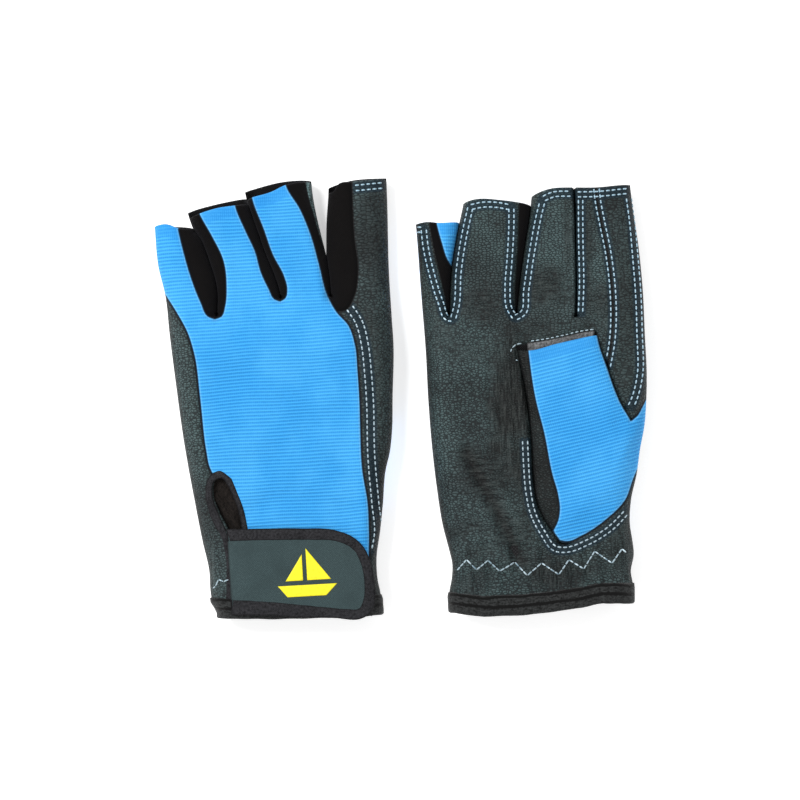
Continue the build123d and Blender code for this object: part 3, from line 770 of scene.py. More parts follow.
class Skins:
    """Collects the skins of one glove, so that normals run on across every seam."""

    def __init__(self, glove):
        self.glove = glove
        self.points, self.skin, self.values = [], [], {}
        self.faces, self.labels, self.which = [], [], []
        self.count = 0

    def add(self, xy, faces, labels, outer, inner, up, values):
        """A skin with its lining. Open borders are rolled, and borders on a tube's edge are joined."""
        n = len(xy)
        mid = middle_of(self.glove, xy[:, 1])
        faces = faces if up > 0 else faces[:, ::-1]
        thick = np.abs(outer - inner)
        border = [(a, b, k) for a, b, k in open_edges(faces) if max(thick[a], thick[b]) > JOINED_THICK]
        push = np.zeros((n, 2))
        for a, b, _ in border:
            step = xy[b] - xy[a]
            out = np.array([step[1], -step[0]]) * up
            out /= np.linalg.norm(out) + 1e-9
            push[a] += out
            push[b] += out
        push /= np.linalg.norm(push, axis=1)[:, None] + 1e-9
        rolled = xy + push * (thick * 0.5)[:, None]
        levels = [(xy, outer), (xy, inner), (rolled, (outer + inner) / 2)]
        for skin, (flat, rise) in enumerate(levels):
            self.points.append(np.column_stack([flat, mid + up * rise]))
            for key, numbers in values.items():
                self.values.setdefault(key, []).append(numbers)
            self.skin.append(np.full(n, skin))
        start = self.count
        for k, f in enumerate(faces):
            self.faces.append(tuple(start + f))
            self.faces.append(tuple(start + n + f[::-1]))
            self.labels += [labels[k], labels[k]]
            self.which += [0, 1]
        for a, b, k in border:
            lip_a, lip_b = start + 2 * n + a, start + 2 * n + b
            self.faces.append((start + b, start + a, lip_a, lip_b))
            self.faces.append((lip_b, lip_a, start + n + a, start + n + b))
            self.labels += [labels[k], labels[k]]
            self.which += [0, 1]
        self.count += 3 * n

    def finish(self):
        """Makes two objects of each label, its skin and its lining, keyed by panel, body and ply."""
        points = np.vstack(self.points)
        values = {key: np.concatenate(parts) for key, parts in self.values.items()}
        skin = np.concatenate(self.skin)
        spots = np.column_stack([np.round(points * 200).astype(int), skin == 1])
        merged = np.unique(spots, axis=0, return_inverse=True)[1].ravel()
        sums = np.zeros((merged.max() + 1, 3))
        for f in self.faces:
            p = points[list(f)]
            normal = np.cross(p[2] - p[0], p[-1] - p[1] if len(f) == 4 else p[1] - p[0])
            if len(f) == 3:
                normal = -normal
            for i in f:
                sums[merged[i]] += normal
        normals = sums[merged]
        normals /= np.linalg.norm(normals, axis=1)[:, None] + 1e-12
        a = math.radians(self.glove["turn"])
        spin = np.array([[math.cos(a), math.sin(a), 0], [-math.sin(a), math.cos(a), 0], [0, 0, 1]])
        normals = normals @ spin
        groups = {}
        for k, (panel, body) in enumerate(self.labels):
            groups.setdefault((panel, body, PLIES[self.which[k]]), []).append(k)
        made = {}
        for (panel, body, ply), members in sorted(groups.items()):
            used = np.unique(np.concatenate([np.array(self.faces[k]) for k in members]))
            place = {v: i for i, v in enumerate(used)}
            faces = [[place[v] for v in self.faces[k]] for k in members]
            made[panel, body, ply] = make_object(
                f"{self.glove['name']}_{panel}_{body}_{ply}",
                placed(self.glove, points[used]),
                faces,
                PANELS[panel][0] if ply == "skin" else lining_cloth,
                normals[used],
                {k: v[used] for k, v in values.items()},
            )
        return made


# ---- Materials ----


def srgb(r, g, b):
    def linear(c):
        c /= 255
        return c / 12.92 if c <= 0.04045 else ((c + 0.055) / 1.055) ** 2.4

    return (linear(r), linear(g), linear(b), 1.0)


class Shader:
    """A material's node tree, with short ways to add nodes."""

    def __init__(self, name):
        self.material = bpy.data.materials.new(name)
        self.material.use_nodes = True
        self.tree = self.material.node_tree
        self.surface = self.tree.nodes["Principled BSDF"]

    def link(self, value, socket):
        if isinstance(value, bpy.types.NodeSocket):
            self.tree.links.new(value, socket)
        else:
            socket.default_value = value

    def node(self, kind, settings=(), **inputs):
        made = self.tree.nodes.new(kind)
        for key, value in dict(settings).items():
            setattr(made, key, value)
        for key, value in inputs.items():
            self.link(value, made.inputs[key])
        return made

    def math(self, operation, a, b=0.0):
        made = self.tree.nodes.new("ShaderNodeMath")
        made.operation = operation
        self.link(a, made.inputs[0])
        self.link(b, made.inputs[1])
        return made.outputs[0]

    def value(self, name):
        """A number stored on the mesh, by its attribute's name."""
        return self.node("ShaderNodeAttribute", {"attribute_name": name}).outputs["Fac"]

    def rest(self, scale=(1.0, 1.0, 1.0), turn=0.0):
        """Where a point is on the piece, in mm, scaled and turned."""
        spot = self.node("ShaderNodeAttribute", {"attribute_name": "rest"}).outputs["Vector"]
        mapping = self.node("ShaderNodeMapping", Vector=spot)
        mapping.inputs["Scale"].default_value = scale
        mapping.inputs["Rotation"].default_value = (0, 0, math.radians(turn))
        return mapping.outputs["Vector"]

    def noise(self, vector, scale, detail=2.0):
        made = self.node("ShaderNodeTexNoise", Vector=vector, Scale=scale, Detail=detail)
        return made.outputs[0]

    def patches(self, scale, detail=3.0):
        """Noise that is broad where scale is small. A scale of three numbers stretches it."""
        scale = scale if isinstance(scale, tuple) else (scale, scale, scale)
        return self.noise(self.rest(scale=scale), 1.0, detail)

    def wave(self, value, length):
        return self.math("SINE", self.math("MULTIPLY", value, 2 * math.pi / length))

    def cells(self, vector, scale, randomness, feature="F1"):
        """Distance in a field of cells, from each one's middle or from the nearest wall."""
        made = self.node("ShaderNodeTexVoronoi", {"feature": feature}, Vector=vector, Scale=scale)
        made.inputs["Randomness"].default_value = randomness
        return made.outputs["Distance"]

    def ramp(self, value, low, high, start=0.0, end=1.0):
        made = self.node("ShaderNodeMapRange", {"interpolation_type": "SMOOTHSTEP"}, Value=value)
        for key, number in (("From Min", low), ("From Max", high), ("To Min", start), ("To Max", end)):
            made.inputs[key].default_value = number
        return made.outputs[0]

    def mix(self, share, a, b):
        made = self.node("ShaderNodeMix", {"data_type": "RGBA"})
        self.link(share, made.inputs[0])
        self.link(a, made.inputs[6])
        self.link(b, made.inputs[7])
        return made.outputs[2]

    def finish(self, colour, height, depth, rough, specular=0.35, sheen=0.0, strength=1.0, tint=None):
        """Depth is the height of the relief in mm."""
        self.link(colour, self.surface.inputs["Base Color"])
        self.link(rough, self.surface.inputs["Roughness"])
        self.surface.inputs["Specular IOR Level"].default_value = specular
        if sheen:
            self.surface.inputs["Sheen Weight"].default_value = sheen
            self.surface.inputs["Sheen Roughness"].default_value = 0.5
            if tint:
                self.surface.inputs["Sheen Tint"].default_value = tint
        bump = self.node("ShaderNodeBump", Height=height, Strength=strength, Distance=depth / 1000)
        self.link(bump.outputs["Normal"], self.surface.inputs["Normal"])
        return self.material


def knit_material(name, turn=0.0):
    """Blue stretch fabric with fine ribs across it and a plainer band at each open end, with painted
    shade right along its seams and a painted highlight just beside it.
    """
    s = Shader(name)
    spot = s.rest(turn=turn)
    wave = s.patches(0.025, 1.0)
    parts = s.node("ShaderNodeSeparateXYZ", Vector=spot)
    across = s.math("ADD", parts.outputs["Y"], s.math("MULTIPLY", wave, 3.0))
    rib = s.wave(across, RIB_PITCH)
    column = s.wave(parts.outputs["X"], 0.9)
    grain = s.noise(spot, 1.3, 3.0)
    ribbed = s.ramp(s.value("mouth"), 4.0, 5.4, 0.3, 1.0)
    rib_height = s.math("MULTIPLY", s.ramp(rib, -1.0, 0.9), ribbed)
    weave = s.math("ADD", s.math("MULTIPLY", column, 0.16), s.math("MULTIPLY", grain, 0.7))
    height = s.math("ADD", rib_height, weave)
    broad = s.patches(0.045)
    pale = s.mix(s.ramp(broad, 0.35, 0.68), srgb(60, 162, 228), srgb(74, 172, 235))
    deep = s.mix(s.ramp(broad, 0.35, 0.68), srgb(34, 130, 204), srgb(48, 144, 216))
    body = s.mix(s.ramp(height, 0.15, 1.3), deep, pale)
    # painted highlight: a pale line just beside each seam
    rim = s.ramp(s.value("edge"), 0.7, 1.5, 0.35, 0.0)
    body = s.mix(rim, body, srgb(128, 200, 248))
    # painted shade: a dark line right along each seam
    colour = s.mix(s.ramp(s.value("edge"), 0.3, 0.75), srgb(10, 24, 40), body)
    return s.finish(colour, height, 0.2, 0.8, 0.18, 0.15, 1.0, srgb(170, 215, 245))


def leather_material(name, light=1.0, size=1.0, wide=1.6):
    """Dark pebbled leather, its grain in rows, with painted highlight on its pebbles' crests and painted
    shade between them, painted shade along its stitched rows, seams, creases, finger roots and sides, and
    darker patches.
    """
    s = Shader(name)

    def grey(r, g, b):
        return srgb(r * light, g * light, b * light)

    wobble = s.node("ShaderNodeTexNoise", Vector=s.rest(), Scale=0.4, Detail=2.0).outputs["Color"]
    drift = s.node("ShaderNodeVectorMath", {"operation": "SCALE"})
    s.link(wobble, drift.inputs[0])
    drift.inputs["Scale"].default_value = 0.9
    spot = s.node("ShaderNodeVectorMath", {"operation": "ADD"})
    s.link(s.rest(scale=(1 / (wide * size), 1 / size, 1 / size)), spot.inputs[0])
    s.link(drift.outputs[0], spot.inputs[1])
    cell = s.cells(spot.outputs[0], 1.0, 0.8)
    wall = s.cells(spot.outputs[0], 1.0, 0.8, "DISTANCE_TO_EDGE")
    dome = s.ramp(cell, 0.0, 0.95, 1.0, 0.2)
    gap = s.ramp(wall, 0.0, 0.2)
    pebble = s.math("MULTIPLY", dome, gap)
    fine = s.noise(s.rest(), 2.4, 3.0)
    patch = s.patches(0.16)
    strong = s.ramp(patch, 0.3, 0.65, 0.6, 1.0)
    worn = s.value("worn")
    upright = s.value("upright")
    across = s.patches((0.2, 1.1, 1.0))
    along = s.patches((1.3, 0.14, 1.0))
    streak = s.mix(upright, across, along)
    wrinkle = s.math("MULTIPLY", s.ramp(streak, 0.4, 0.62), worn)
    height = s.math("ADD", s.math("MULTIPLY", pebble, strong), s.math("MULTIPLY", fine, 0.4))
    height = s.math("ADD", height, s.math("MULTIPLY", wrinkle, 0.5))
    broad = s.patches(0.03)
    part = s.ramp(broad, 0.36, 0.64)
    # pebble crests are painted lighter and their gaps darker, as painted highlight and painted shade
    low = s.mix(part, grey(12, 16, 17), grey(22, 30, 31))
    high = s.mix(part, grey(50, 62, 63), grey(70, 88, 89))
    tone = s.mix(s.ramp(height, 0.12, 0.8), low, high)
    # painted shade along creases, at finger roots and towards the sides, and darker patches, where worn
    # is high
    shade_and_patch_tone = s.mix(s.ramp(streak, 0.4, 0.7), srgb(6, 5, 5), grey(40, 41, 39))
    tone = s.mix(s.math("MULTIPLY", worn, 0.86), tone, shade_and_patch_tone)
    # painted shade in dark teal along the stitched rows
    tone = s.mix(s.ramp(s.value("row"), 0.9, 1.7, 0.72, 0.0), tone, srgb(9, 33, 45))
    # painted shade towards a tube's edge
    tone = s.mix(s.ramp(s.value("side"), 0.0, 0.28, 0.6, 0.0), tone, srgb(12, 14, 14))
    # painted shade: a dark line right along each seam
    colour = s.mix(s.ramp(s.value("edge"), 0.2, 0.75), srgb(9, 10, 11), tone)
    rough = s.ramp(s.math("ADD", height, s.math("MULTIPLY", broad, 0.5)), 0.2, 1.6, 0.68, 0.5)
    return s.finish(colour, height, 0.34, rough, 0.24)


def cloth_material(
    name, dark, pale, cell=0.7, depth=0.15, sheen=0.3, rough=0.85, fuzz=0.0, turn=0.0, gloss=0.25
):
    """Woven or knitted cloth with crossing threads, a nap if fuzz is over 0, and painted shade along its
    seams and rims.
    """
    s = Shader(name)
    parts = s.node("ShaderNodeSeparateXYZ", Vector=s.rest(turn=turn))
    warp, weft = [s.wave(parts.outputs[key], cell) for key in ("X", "Y")]
    weave = s.math("MULTIPLY", s.math("MULTIPLY", warp, weft), 0.5 - 0.4 * fuzz)
    nap = s.noise(s.rest(), 1.8 - 0.8 * fuzz, 4.0)
    height = s.math("ADD", weave, s.math("MULTIPLY", nap, 0.5 + 1.2 * fuzz))
    broad = s.patches(0.09)
    tone = s.mix(s.ramp(height, 0.1, 0.8 + 0.6 * fuzz), dark, pale)
    tone = s.mix(s.ramp(broad, 0.4, 0.75, 0.0, 0.4), tone, dark)
    # painted shade along seams and along a piece's rims
    colour = s.mix(s.ramp(s.value("edge"), 1.1, 1.8, 0.75, 0.0), tone, srgb(7, 6, 6))
    return s.finish(colour, height, depth, rough, gloss, sheen, 1.0, srgb(150, 150, 160))


def hem_material(name):
    """Soft tape folded over the wrist: pebbled, with creases along it that are painted dark as painted
    shade.
    """
    s = Shader(name)
    spot = s.rest()
    up = s.node("ShaderNodeSeparateXYZ", Vector=spot).outputs["Y"]
    sway = s.patches((0.06, 0.1, 0.1), 2.0)
    level = s.math("ADD", up, s.math("MULTIPLY", sway, 2.4))
    gaps = [s.math("ABSOLUTE", s.math("SUBTRACT", level, height)) for height in (8.6, 4.4)]
    high, low = [s.ramp(gap, 0.25, 0.9, 1.0, 0.0) for gap in gaps]
    crease = s.math("MAXIMUM", high, s.math("MULTIPLY", low, 0.7))
    nap = s.noise(spot, 1.3, 4.0)
    grain = s.patches((0.5, 1.1, 1.0))
    height = s.math("SUBTRACT", s.math("ADD", nap, grain), s.math("MULTIPLY", crease, 0.8))
    tone = s.mix(s.ramp(height, 0.65, 1.3), srgb(6, 6, 6), srgb(52, 54, 54))
    # the creases are painted dark, as painted shade
    return s.finish(
        s.mix(s.math("MULTIPLY", crease, 0.7), tone, srgb(8, 8, 8)), height, 0.4, 0.8, 0.14, 0.1
    )


def bristle_material(name, dark, pale):
    """Hook or loop tape: a dense field of small tufts."""
    s = Shader(name)
    point = s.ramp(s.cells(s.rest(), 1.5, 0.6), 0.1, 0.7, 1.0, 0.0)
    nap = s.noise(s.rest(), 3.0, 3.0)
    height = s.math("ADD", point, s.math("MULTIPLY", nap, 0.5))
    return s.finish(s.mix(s.ramp(height, 0.3, 1.1), dark, pale), height, 0.35, 0.8, 0.3, 0.2)


def thread_material(name, pale, dark):
    """Twisted sewing thread."""
    s = Shader(name)
    parts = s.node("ShaderNodeSeparateXYZ", Vector=s.rest())
    twist = s.math("SINE", s.math("MULTIPLY", s.math("ADD", parts.outputs["X"], parts.outputs["Y"]), 9.0))
    tone = s.mix(s.ramp(twist, -1.0, 0.6), dark, pale)
    soil = s.ramp(s.noise(s.rest(), 0.2, 2.0), 0.45, 0.75, 0.0, 0.25)
    return s.finish(s.mix(soil, tone, dark), twist, 0.06, 0.6, 0.3, 0.2)


def print_material(name, strong, worn):
    """A rubbery print, thin at its edges and faintly cracked."""
    s = Shader(name)
    speckle = s.noise(s.rest(), 0.9, 4.0)
    line = s.ramp(s.cells(s.rest(), 0.45, 1.0, "DISTANCE_TO_EDGE"), 0.0, 0.03, 0.35, 0.0)
    tone = s.mix(s.ramp(speckle, 0.35, 0.7), strong, worn)
    return s.finish(s.mix(line, tone, srgb(150, 138, 20)), speckle, 0.08, 0.5, 0.4)


def paper_material():
    """The pale floor, with a trace of unevenness."""
    s = Shader("pale_floor")
    geometry = s.node("ShaderNodeNewGeometry")
    mottle = s.noise(geometry.outputs["Position"], 3.0, 2.0)
    s.surface.inputs["Emission Color"].default_value = (1, 1, 1, 1)
    s.surface.inputs["Emission Strength"].default_value = 0.45
    return s.finish(s.mix(mottle, srgb(250, 250, 250), srgb(255, 255, 255)), mottle, 0.02, 0.9, 0.1)


knit = knit_material("blue_knit")
thumb_knit = knit_material("blue_knit_thumb", turn=-13)
leather = leather_material("pebbled_leather")
pale_leather = leather_material("pebbled_leather_pale", 1.9)
# a darker copy of the leather, as painted shade, for the thumb stall's leather side and its inside
shaded_thumb_leather = leather_material("pebbled_leather_thumb_shaded", 0.5)
side_leather = leather_material("pebbled_leather_side", 0.86, 1.15, 1.9)
fourchette_cloth = cloth_material(
    "black_knit", srgb(4, 3, 3), srgb(22, 19, 18), 0.8, 0.15, 0.1, gloss=0.1
)
lining_cloth = cloth_material("black_lining", srgb(7, 7, 8), srgb(34, 34, 36), 1.0, 0.15, 0.1, gloss=0.12)
tape_cloth = cloth_material(
    "black_tape", srgb(6, 6, 7), srgb(56, 56, 59), 0.9, 0.45, 0.1, 0.9, 0.9, gloss=0.12
)
hem_cloth = hem_material("wrist_hem_tape")
thumb_hem_cloth = cloth_material(
    "grey_thumb_hem", srgb(6, 6, 7), srgb(140, 142, 144), 0.8, 0.45, 0.1, 0.9, 1.0
)
gusset_cloth = cloth_material(
    "brown_black_gusset", srgb(3, 3, 2), srgb(42, 37, 34), 1.1, 0.35, 0.08, 0.9, 0.9, gloss=0.1
)
strap_cloth = cloth_material(
    "strap_cloth", srgb(36, 50, 52), srgb(70, 90, 92), 0.75, 0.14, 0.15, 0.75, 0.25
)
elastic_cloth = cloth_material("black_elastic", srgb(12, 12, 13), srgb(48, 48, 50), 1.4, 0.3)
loop_cloth = bristle_material("black_loops", srgb(8, 8, 9), srgb(46, 45, 46))
hook_cloth = bristle_material("black_hooks", srgb(14, 14, 15), srgb(64, 64, 66))
blue_thread = thread_material("pale_blue_thread", srgb(200, 227, 238), srgb(106, 152, 180))
pale_thread = thread_material("pale_thread", srgb(198, 218, 227), srgb(120, 146, 160))
yellow_print = print_material("yellow_print", srgb(252, 238, 34), srgb(238, 220, 24))
# Material and slot of each panel
PANELS = {
    "palm": (leather, "leather"),
    "strip": (pale_leather, "leather"),
    "side": (side_leather, "leather"),
    "back": (knit, "stretch_fabric"),
    "fourchette": (fourchette_cloth, "fourchette"),
    "thumb_leather": (shaded_thumb_leather, "leather"),
    "thumb_blue": (thumb_knit, "stretch_fabric"),
}


# ---- Which body and panel a point belongs to ----


def finger_polygon(glove, finger):
    left, right = [joined(*[glove[key] for key in keys]) for keys in FINGER_SIDES[finger]]
    return between(left, right)


def body_of(glove, points, face):
    """The finger that each point is on, "hand", or "" off the glove."""
    found = np.full(len(points), "", dtype=object)
    low = under(points, glove["crotch"])
    found[low & inside(points, hull_of(glove)) & ~under(points, glove["wrist"])] = "hand"
    for finger, mouth in glove["mouths"][face].items():
        found[inside(points, finger_polygon(glove, finger)) & ~low & under(points, mouth)] = finger
    return found


def back_panels(glove, points, bodies):
    """Stretch fabric, leather or sidewall for each point of the back."""
    far = np.array([(60.0, -10.0), (60.0, 200.0)])
    blue_cut, leather_cut = glove["blue_thumb"], glove["leather_index"]
    meeting = distance(blue_cut, [leather_cut[:1].repeat(2, 0)]).argmin()
    panels = np.full(len(points), "back", dtype=object)
    for outline, panel in (
        (between(glove["blue_pinky"], glove["blue_ring_left"]), "fourchette"),
        (between(glove["blue_ring_right"], glove["blue_middle_left"]), "fourchette"),
        (joined(blue_cut[::-1], np.array([(5, 200.0)]), far[::-1]), "fourchette"),
        (joined(leather_cut[::-1], blue_cut[meeting:], far), "side"),
        (
            joined(glove["blue_little"], np.array([(-70, 150), (-70, -10), (-24.2, -10), (-24.2, 50)])),
            "palm"
        )
    ):
        panels[inside(points, outline)] = panel
    if "middle_strip" in glove:
        strip = between(glove["middle_strip"], glove["middle_high"])
        panels[inside(points, strip) & (bodies == "middle")] = "strip"
    return panels


def palm_panels(glove, points, bodies):
    """Leather, its side part, or sidewall for each point of the palm."""
    panels = np.full(len(points), "palm", dtype=object)
    side = joined(glove["palm_seam"], np.array([(31.5, 100), (60, 60), (60, 200)]))
    panels[inside(points, side)] = "side"
    gaps = [
        between(glove["palm_pinky"], glove["fold_1"]), between(glove["palm_ring_right"], glove["fold_2"])
    ]
    if not glove["palm_up"]:
        gaps.append(between(glove["palm_middle_left"], glove["fold_2"]))
        for seam, fold in (("palm_middle_right", "middle_high"), ("palm_index_left", "index_high")):
            gaps.append(between(glove[seam], joined(glove["index_low"], glove[fold])))
    for gap in gaps:
        panels[inside(points, gap)] = "fourchette"
    if glove["palm_up"]:
        wedge = between(glove["pinky_wedge"], glove["fold_1"][16:])
        panels[inside(points, wedge) & (bodies == "pinky")] = "back"
    return panels


def surface_values(glove, points, face, seams):
    """Numbers that the materials read: where a point lies, and how far it is from a seam or open end."""
    side, rise = pillow(glove, points, face)
    mouth = np.full(len(points), NO_LINE)
    for finger, line in glove["mouths"][face].items():
        on = inside(points, finger_polygon(glove, finger)) & ~under(points, glove["crotch"])
        mouth[on] = distance(points[on], [line])
    worn, upright = shade_and_dark_patches(glove, points, face)
    return {
        "rest": np.column_stack([points, rise + (60 if face == "palm" else 0)]),
        # edge, row, worn and side steer the painted shade in the materials along seams, stitched rows,
        # creases, finger roots and sides. edge also places the knit's painted highlight beside its seams,
        # and worn also marks darker patches.
        "edge": distance(points, seams),
        "mouth": mouth,
        "row": distance(points, rows_of(glove, face)),
        "worn": worn,
        "upright": upright,
        "side": side,
    }


def make_face(glove, face, skins):
    edges, seams, cuts = plan_lines(glove, face)
    mouths = list(glove["mouths"][face].values())
    stitched = rows_of(glove, face)
    lines = [(line, "edge") for line, _ in edges] + [(line, "seam") for line in seams]
    lines += [(line, "plain") for line in mouths + cuts + stitched + [glove["wrist"][1:-1]]]
    lines += [(smooth(glove["crotch"][k : k + 2]), "plain") for k in range(4)]

    def wanted(points):
        on = body_of(glove, points, face) != ""
        return on & ~inside(points, slot_line if face == "back" else thumb_root)

    xy, faces, centres = plan_mesh(lines, wanted, GRID, MESH_ROWS)
    bodies = body_of(glove, centres, face)
    panels = (back_panels if face == "back" else palm_panels)(glove, centres, bodies)
    panels[(bodies == "index") & (panels == "back")] = "fourchette"
    if glove["palm_up"]:
        panels[(bodies == "hand") & (panels == "fourchette")] = "palm" if face == "palm" else "side"
    labels = list(zip(panels, bodies))
    outer, inner = face_rise(glove, xy, face)
    if face == "palm":
        inner = np.minimum(inner, outer - 0.3 * (outer > 0.5))
    values = surface_values(glove, xy, face, seams)
    skins.add(xy, faces, labels, outer, inner, up_of(glove, face), values)


def make_thumb(glove, skins):
    """The thumb stall, folded on the palm, and the stretch fabric that it swings from."""
    up = up_of(glove, "palm")
    borders = [thumb_left, thumb_right]
    seams = [thumb_seam, tongue_seam, thumb_blue_edge]
    blue = joined(thumb_blue_edge, np.array([(80, 125), (80, 20)]), thumb_left[:1])

    def on_stall(points, mouth):
        return inside(points, thumb_stall) & (beyond_crease(points) > 0) & under(points, mouth)

    def on_outside(points):
        on_root = inside(points, thumb_root) & inside(points, hull_of(glove)) & (
            beyond_crease(points) <= 0
        )
        return on_stall(points, thumb_mouth_out) | on_root

    lines = [(line, "edge") for line in borders + [glove["thumb_edge"]]]
    lines += [(line, "seam") for line in seams] + [(thumb_mouth_out, "plain"), (CREASE, "plain")]
    xy, faces, centres = plan_mesh(lines, on_outside, GRID, THUMB_MESH_ROWS)
    is_blue = inside(centres, blue) | (beyond_crease(centres) <= 0)
    labels = [("thumb_blue" if b else "thumb_leather", "thumb") for b in is_blue]
    outer = thumb_outer_rise(glove, xy)
    t = pillow(glove, xy, "palm")[0]
    inner = outer - THUMB_THICK * rounding(np.minimum(distance(xy, borders) / 4, t))
    values = surface_values(glove, xy, "palm", seams + borders)
    values["mouth"] = distance(xy, [thumb_mouth_out])
    skins.add(xy, faces, labels, outer, inner, up, values)

    lines = [(line, "edge") for line in borders] + [(thumb_mouth_in, "plain"), (CREASE, "plain")]
    xy, faces, _ = plan_mesh(lines, lambda p: on_stall(p, thumb_mouth_in), GRID, THUMB_MESH_ROWS)
    labels = [("thumb_leather", "thumb")] * len(faces)
    outer = thumb_inner_rise(glove, xy)
    inner = outer + THUMB_THICK * rounding(distance(xy, borders) / 4)
    values = surface_values(glove, xy, "palm", borders)
    values["mouth"] = distance(xy, [thumb_mouth_in])
    skins.add(xy, faces[:, ::-1], labels, outer, inner, up, values)


# ---- Flat pieces on the surface, bindings and stitches ----


def back_rise(glove, points, stiff=0.0):
    """Rise of the back without its small details, flatter at the sides for a stiff piece."""
    t, rise = pillow(glove, points, "back")
    rise = np.where(points[:, 1] < 0, HAND_RISE * rounding(t), rise)
    return rise * (1 - stiff) + HAND_RISE * stiff


def slab(glove, name, outline, low, high, base, up, material, hole=None, spacing=2.0, rim=0.5, wave=0.0):
    """A flat piece from low to high over the surface that base gives, its borders rounded by rim."""
    closed = [joined(line, line[:1]) for line in (outline, hole) if line is not None]

    def wanted(points):
        on = inside(points, outline)
        return on if hole is None else on & ~inside(points, hole)

    xy, faces, _ = plan_mesh([(line, "rim") for line in closed], wanted, spacing, MESH_ROWS)
    gap = distance(xy, closed)
    level = base(xy)
    drop = rim * (1 - rounding(gap / (1.6 * rim)))
    lift = high + wave * ripple(xy, 4.0, 9) + 0.4 * wave * ripple(xy, 1.6, 8)
    top, bottom = level + lift - drop, level + low + 0.4 * drop
    n = len(xy)
    mid = middle_of(glove, xy[:, 1])
    points = np.vstack([np.column_stack([xy, mid + up * top]), np.column_stack([xy, mid + up * bottom])])
    all_faces = [tuple(f) for f in faces] + [tuple(n + f[::-1]) for f in faces]
    all_faces += [(b, a, n + a, n + b) for a, b, _ in open_edges(faces)]
    if up < 0:
        all_faces = [f[::-1] for f in all_faces]
    rest = np.vstack([np.column_stack([xy, top]), np.column_stack([xy, bottom - 40])])
    flat = np.ones(2 * n)
    values = {"rest": rest, "edge": np.concatenate([gap + 1, gap + 1]), "side": flat}
    values |= {"mouth": NO_LINE * flat, "row": NO_LINE * flat, "worn": 0.2 * flat, "upright": 0 * flat}
    return make_object(
        f"{glove['name']}_{name}", placed(glove, points), all_faces, material, None, values
    )


def bend_of(glove, body):
    """Start and end of the fabric's bend between the hand and a body on it, in the shared frame."""
    if body == "thumb":
        start = CREASE.mean(0)
        end = start + np.array([-crease_along[1], crease_along[0]]) * 12
        rise = glove["middle"]
    elif body == "strap":
        start, end, rise = (-28.4, 18), (-20.5, 18), glove["middle"]
    else:
        start, lean, base_along = glove["fingers"][body]
        a = math.radians(lean)
        ahead = np.array([math.sin(a), math.cos(a)])
        start = np.array(start)
        start = start + ahead * (base_along - start @ ahead)
        end = start + ahead * BEND_LENGTH
        rise = FINGER_MIDDLE
    flat = placed(glove, [(*start, rise), (*end, rise)])
    return tuple(flat[0]), tuple(flat[1])


def attach(glove, piece, body):
    """Rides the hand; a piece on any other body only has its transform baked."""
    name = glove["name"]
    if body == "hand":
        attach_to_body(piece, f"{name}_hand")
    else:
        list(bend_of(glove, body))
        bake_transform(piece)


def stitch_marks(line, pitch=STITCH_PITCH, length=STITCH_LENGTH):
    """Both ends of each stitch along a line."""
    along = travelled(line)
    starts = np.arange(0.4, along[-1] - length, pitch)
    ends = [
        np.column_stack([
            np.interp(s, along, line[:, k]) for k in (0, 1)
        ]) for s in (starts, starts + length)
    ]
    return list(zip(*ends))


def zigzag_marks(points):
    """Stitches that fill each leg of a zigzag from corner to corner."""
    marks = []
    for a, b in zip(np.array(points[:-1], float), np.array(points[1:], float)):
        count = max(1, int(round(np.linalg.norm(b - a) / STITCH_PITCH)))
        for k in range(count):
            marks.append((a + (b - a) * (k + 0.05) / count, a + (b - a) * (k + 0.95) / count))
    return marks


def make_stitches(glove, name, marks, rise_of, up, body, material, thick=STITCH_THICK):
    """Small rounded stitches between marks, half sunk in the surface."""
    if not marks:
        return
    starts, ends = np.array([m[0] for m in marks]), np.array([m[1] for m in marks])
    vertices, faces, rest = [], [], []
    rises = [rise_of(starts + (ends - starts) * share) for share, _ in STITCH_SHAPE]
    for k in range(len(marks)):
        ahead = (ends[k] - starts[k]) / (np.linalg.norm(ends[k] - starts[k]) + 1e-9)
        side = np.array([ahead[1], -ahead[0]])
        first = len(vertices)
        for (share, width), rise in zip(STITCH_SHAPE, rises):
            centre = starts[k] + (ends[k] - starts[k]) * share
            mid = middle_of(glove, centre[1])
            sink = 0.16 - 0.3 * (1 - width)
            for turn in range(STITCH_SIDES):
                a = math.pi / 3 * turn
                flat = centre + side * math.cos(a) * thick * width
                level = mid + up * (rise[k] + sink + math.sin(a) * thick * width)
                vertices.append((flat[0], flat[1], level))
                rest.append((centre[0], centre[1], a))
        n = STITCH_SIDES
        for ring in range(len(STITCH_SHAPE) - 1):
            for turn in range(n):
                a, b = first + n * ring + turn, first + n * ring + (turn + 1) % n
                faces.append((a, b, b + n, a + n) if up < 0 else (a + n, b + n, b, a))
        front, back = tuple(range(first, first + n)), tuple(range(len(vertices) - n, len(vertices)))
        faces.append(front[::-1] if up < 0 else front)
        faces.append(back if up < 0 else back[::-1])
    values = {"rest": np.array(rest)}
    piece = make_object(f"{glove['name']}_{name}", placed(glove, vertices), faces, material, None, values)
    attach(glove, piece, body)


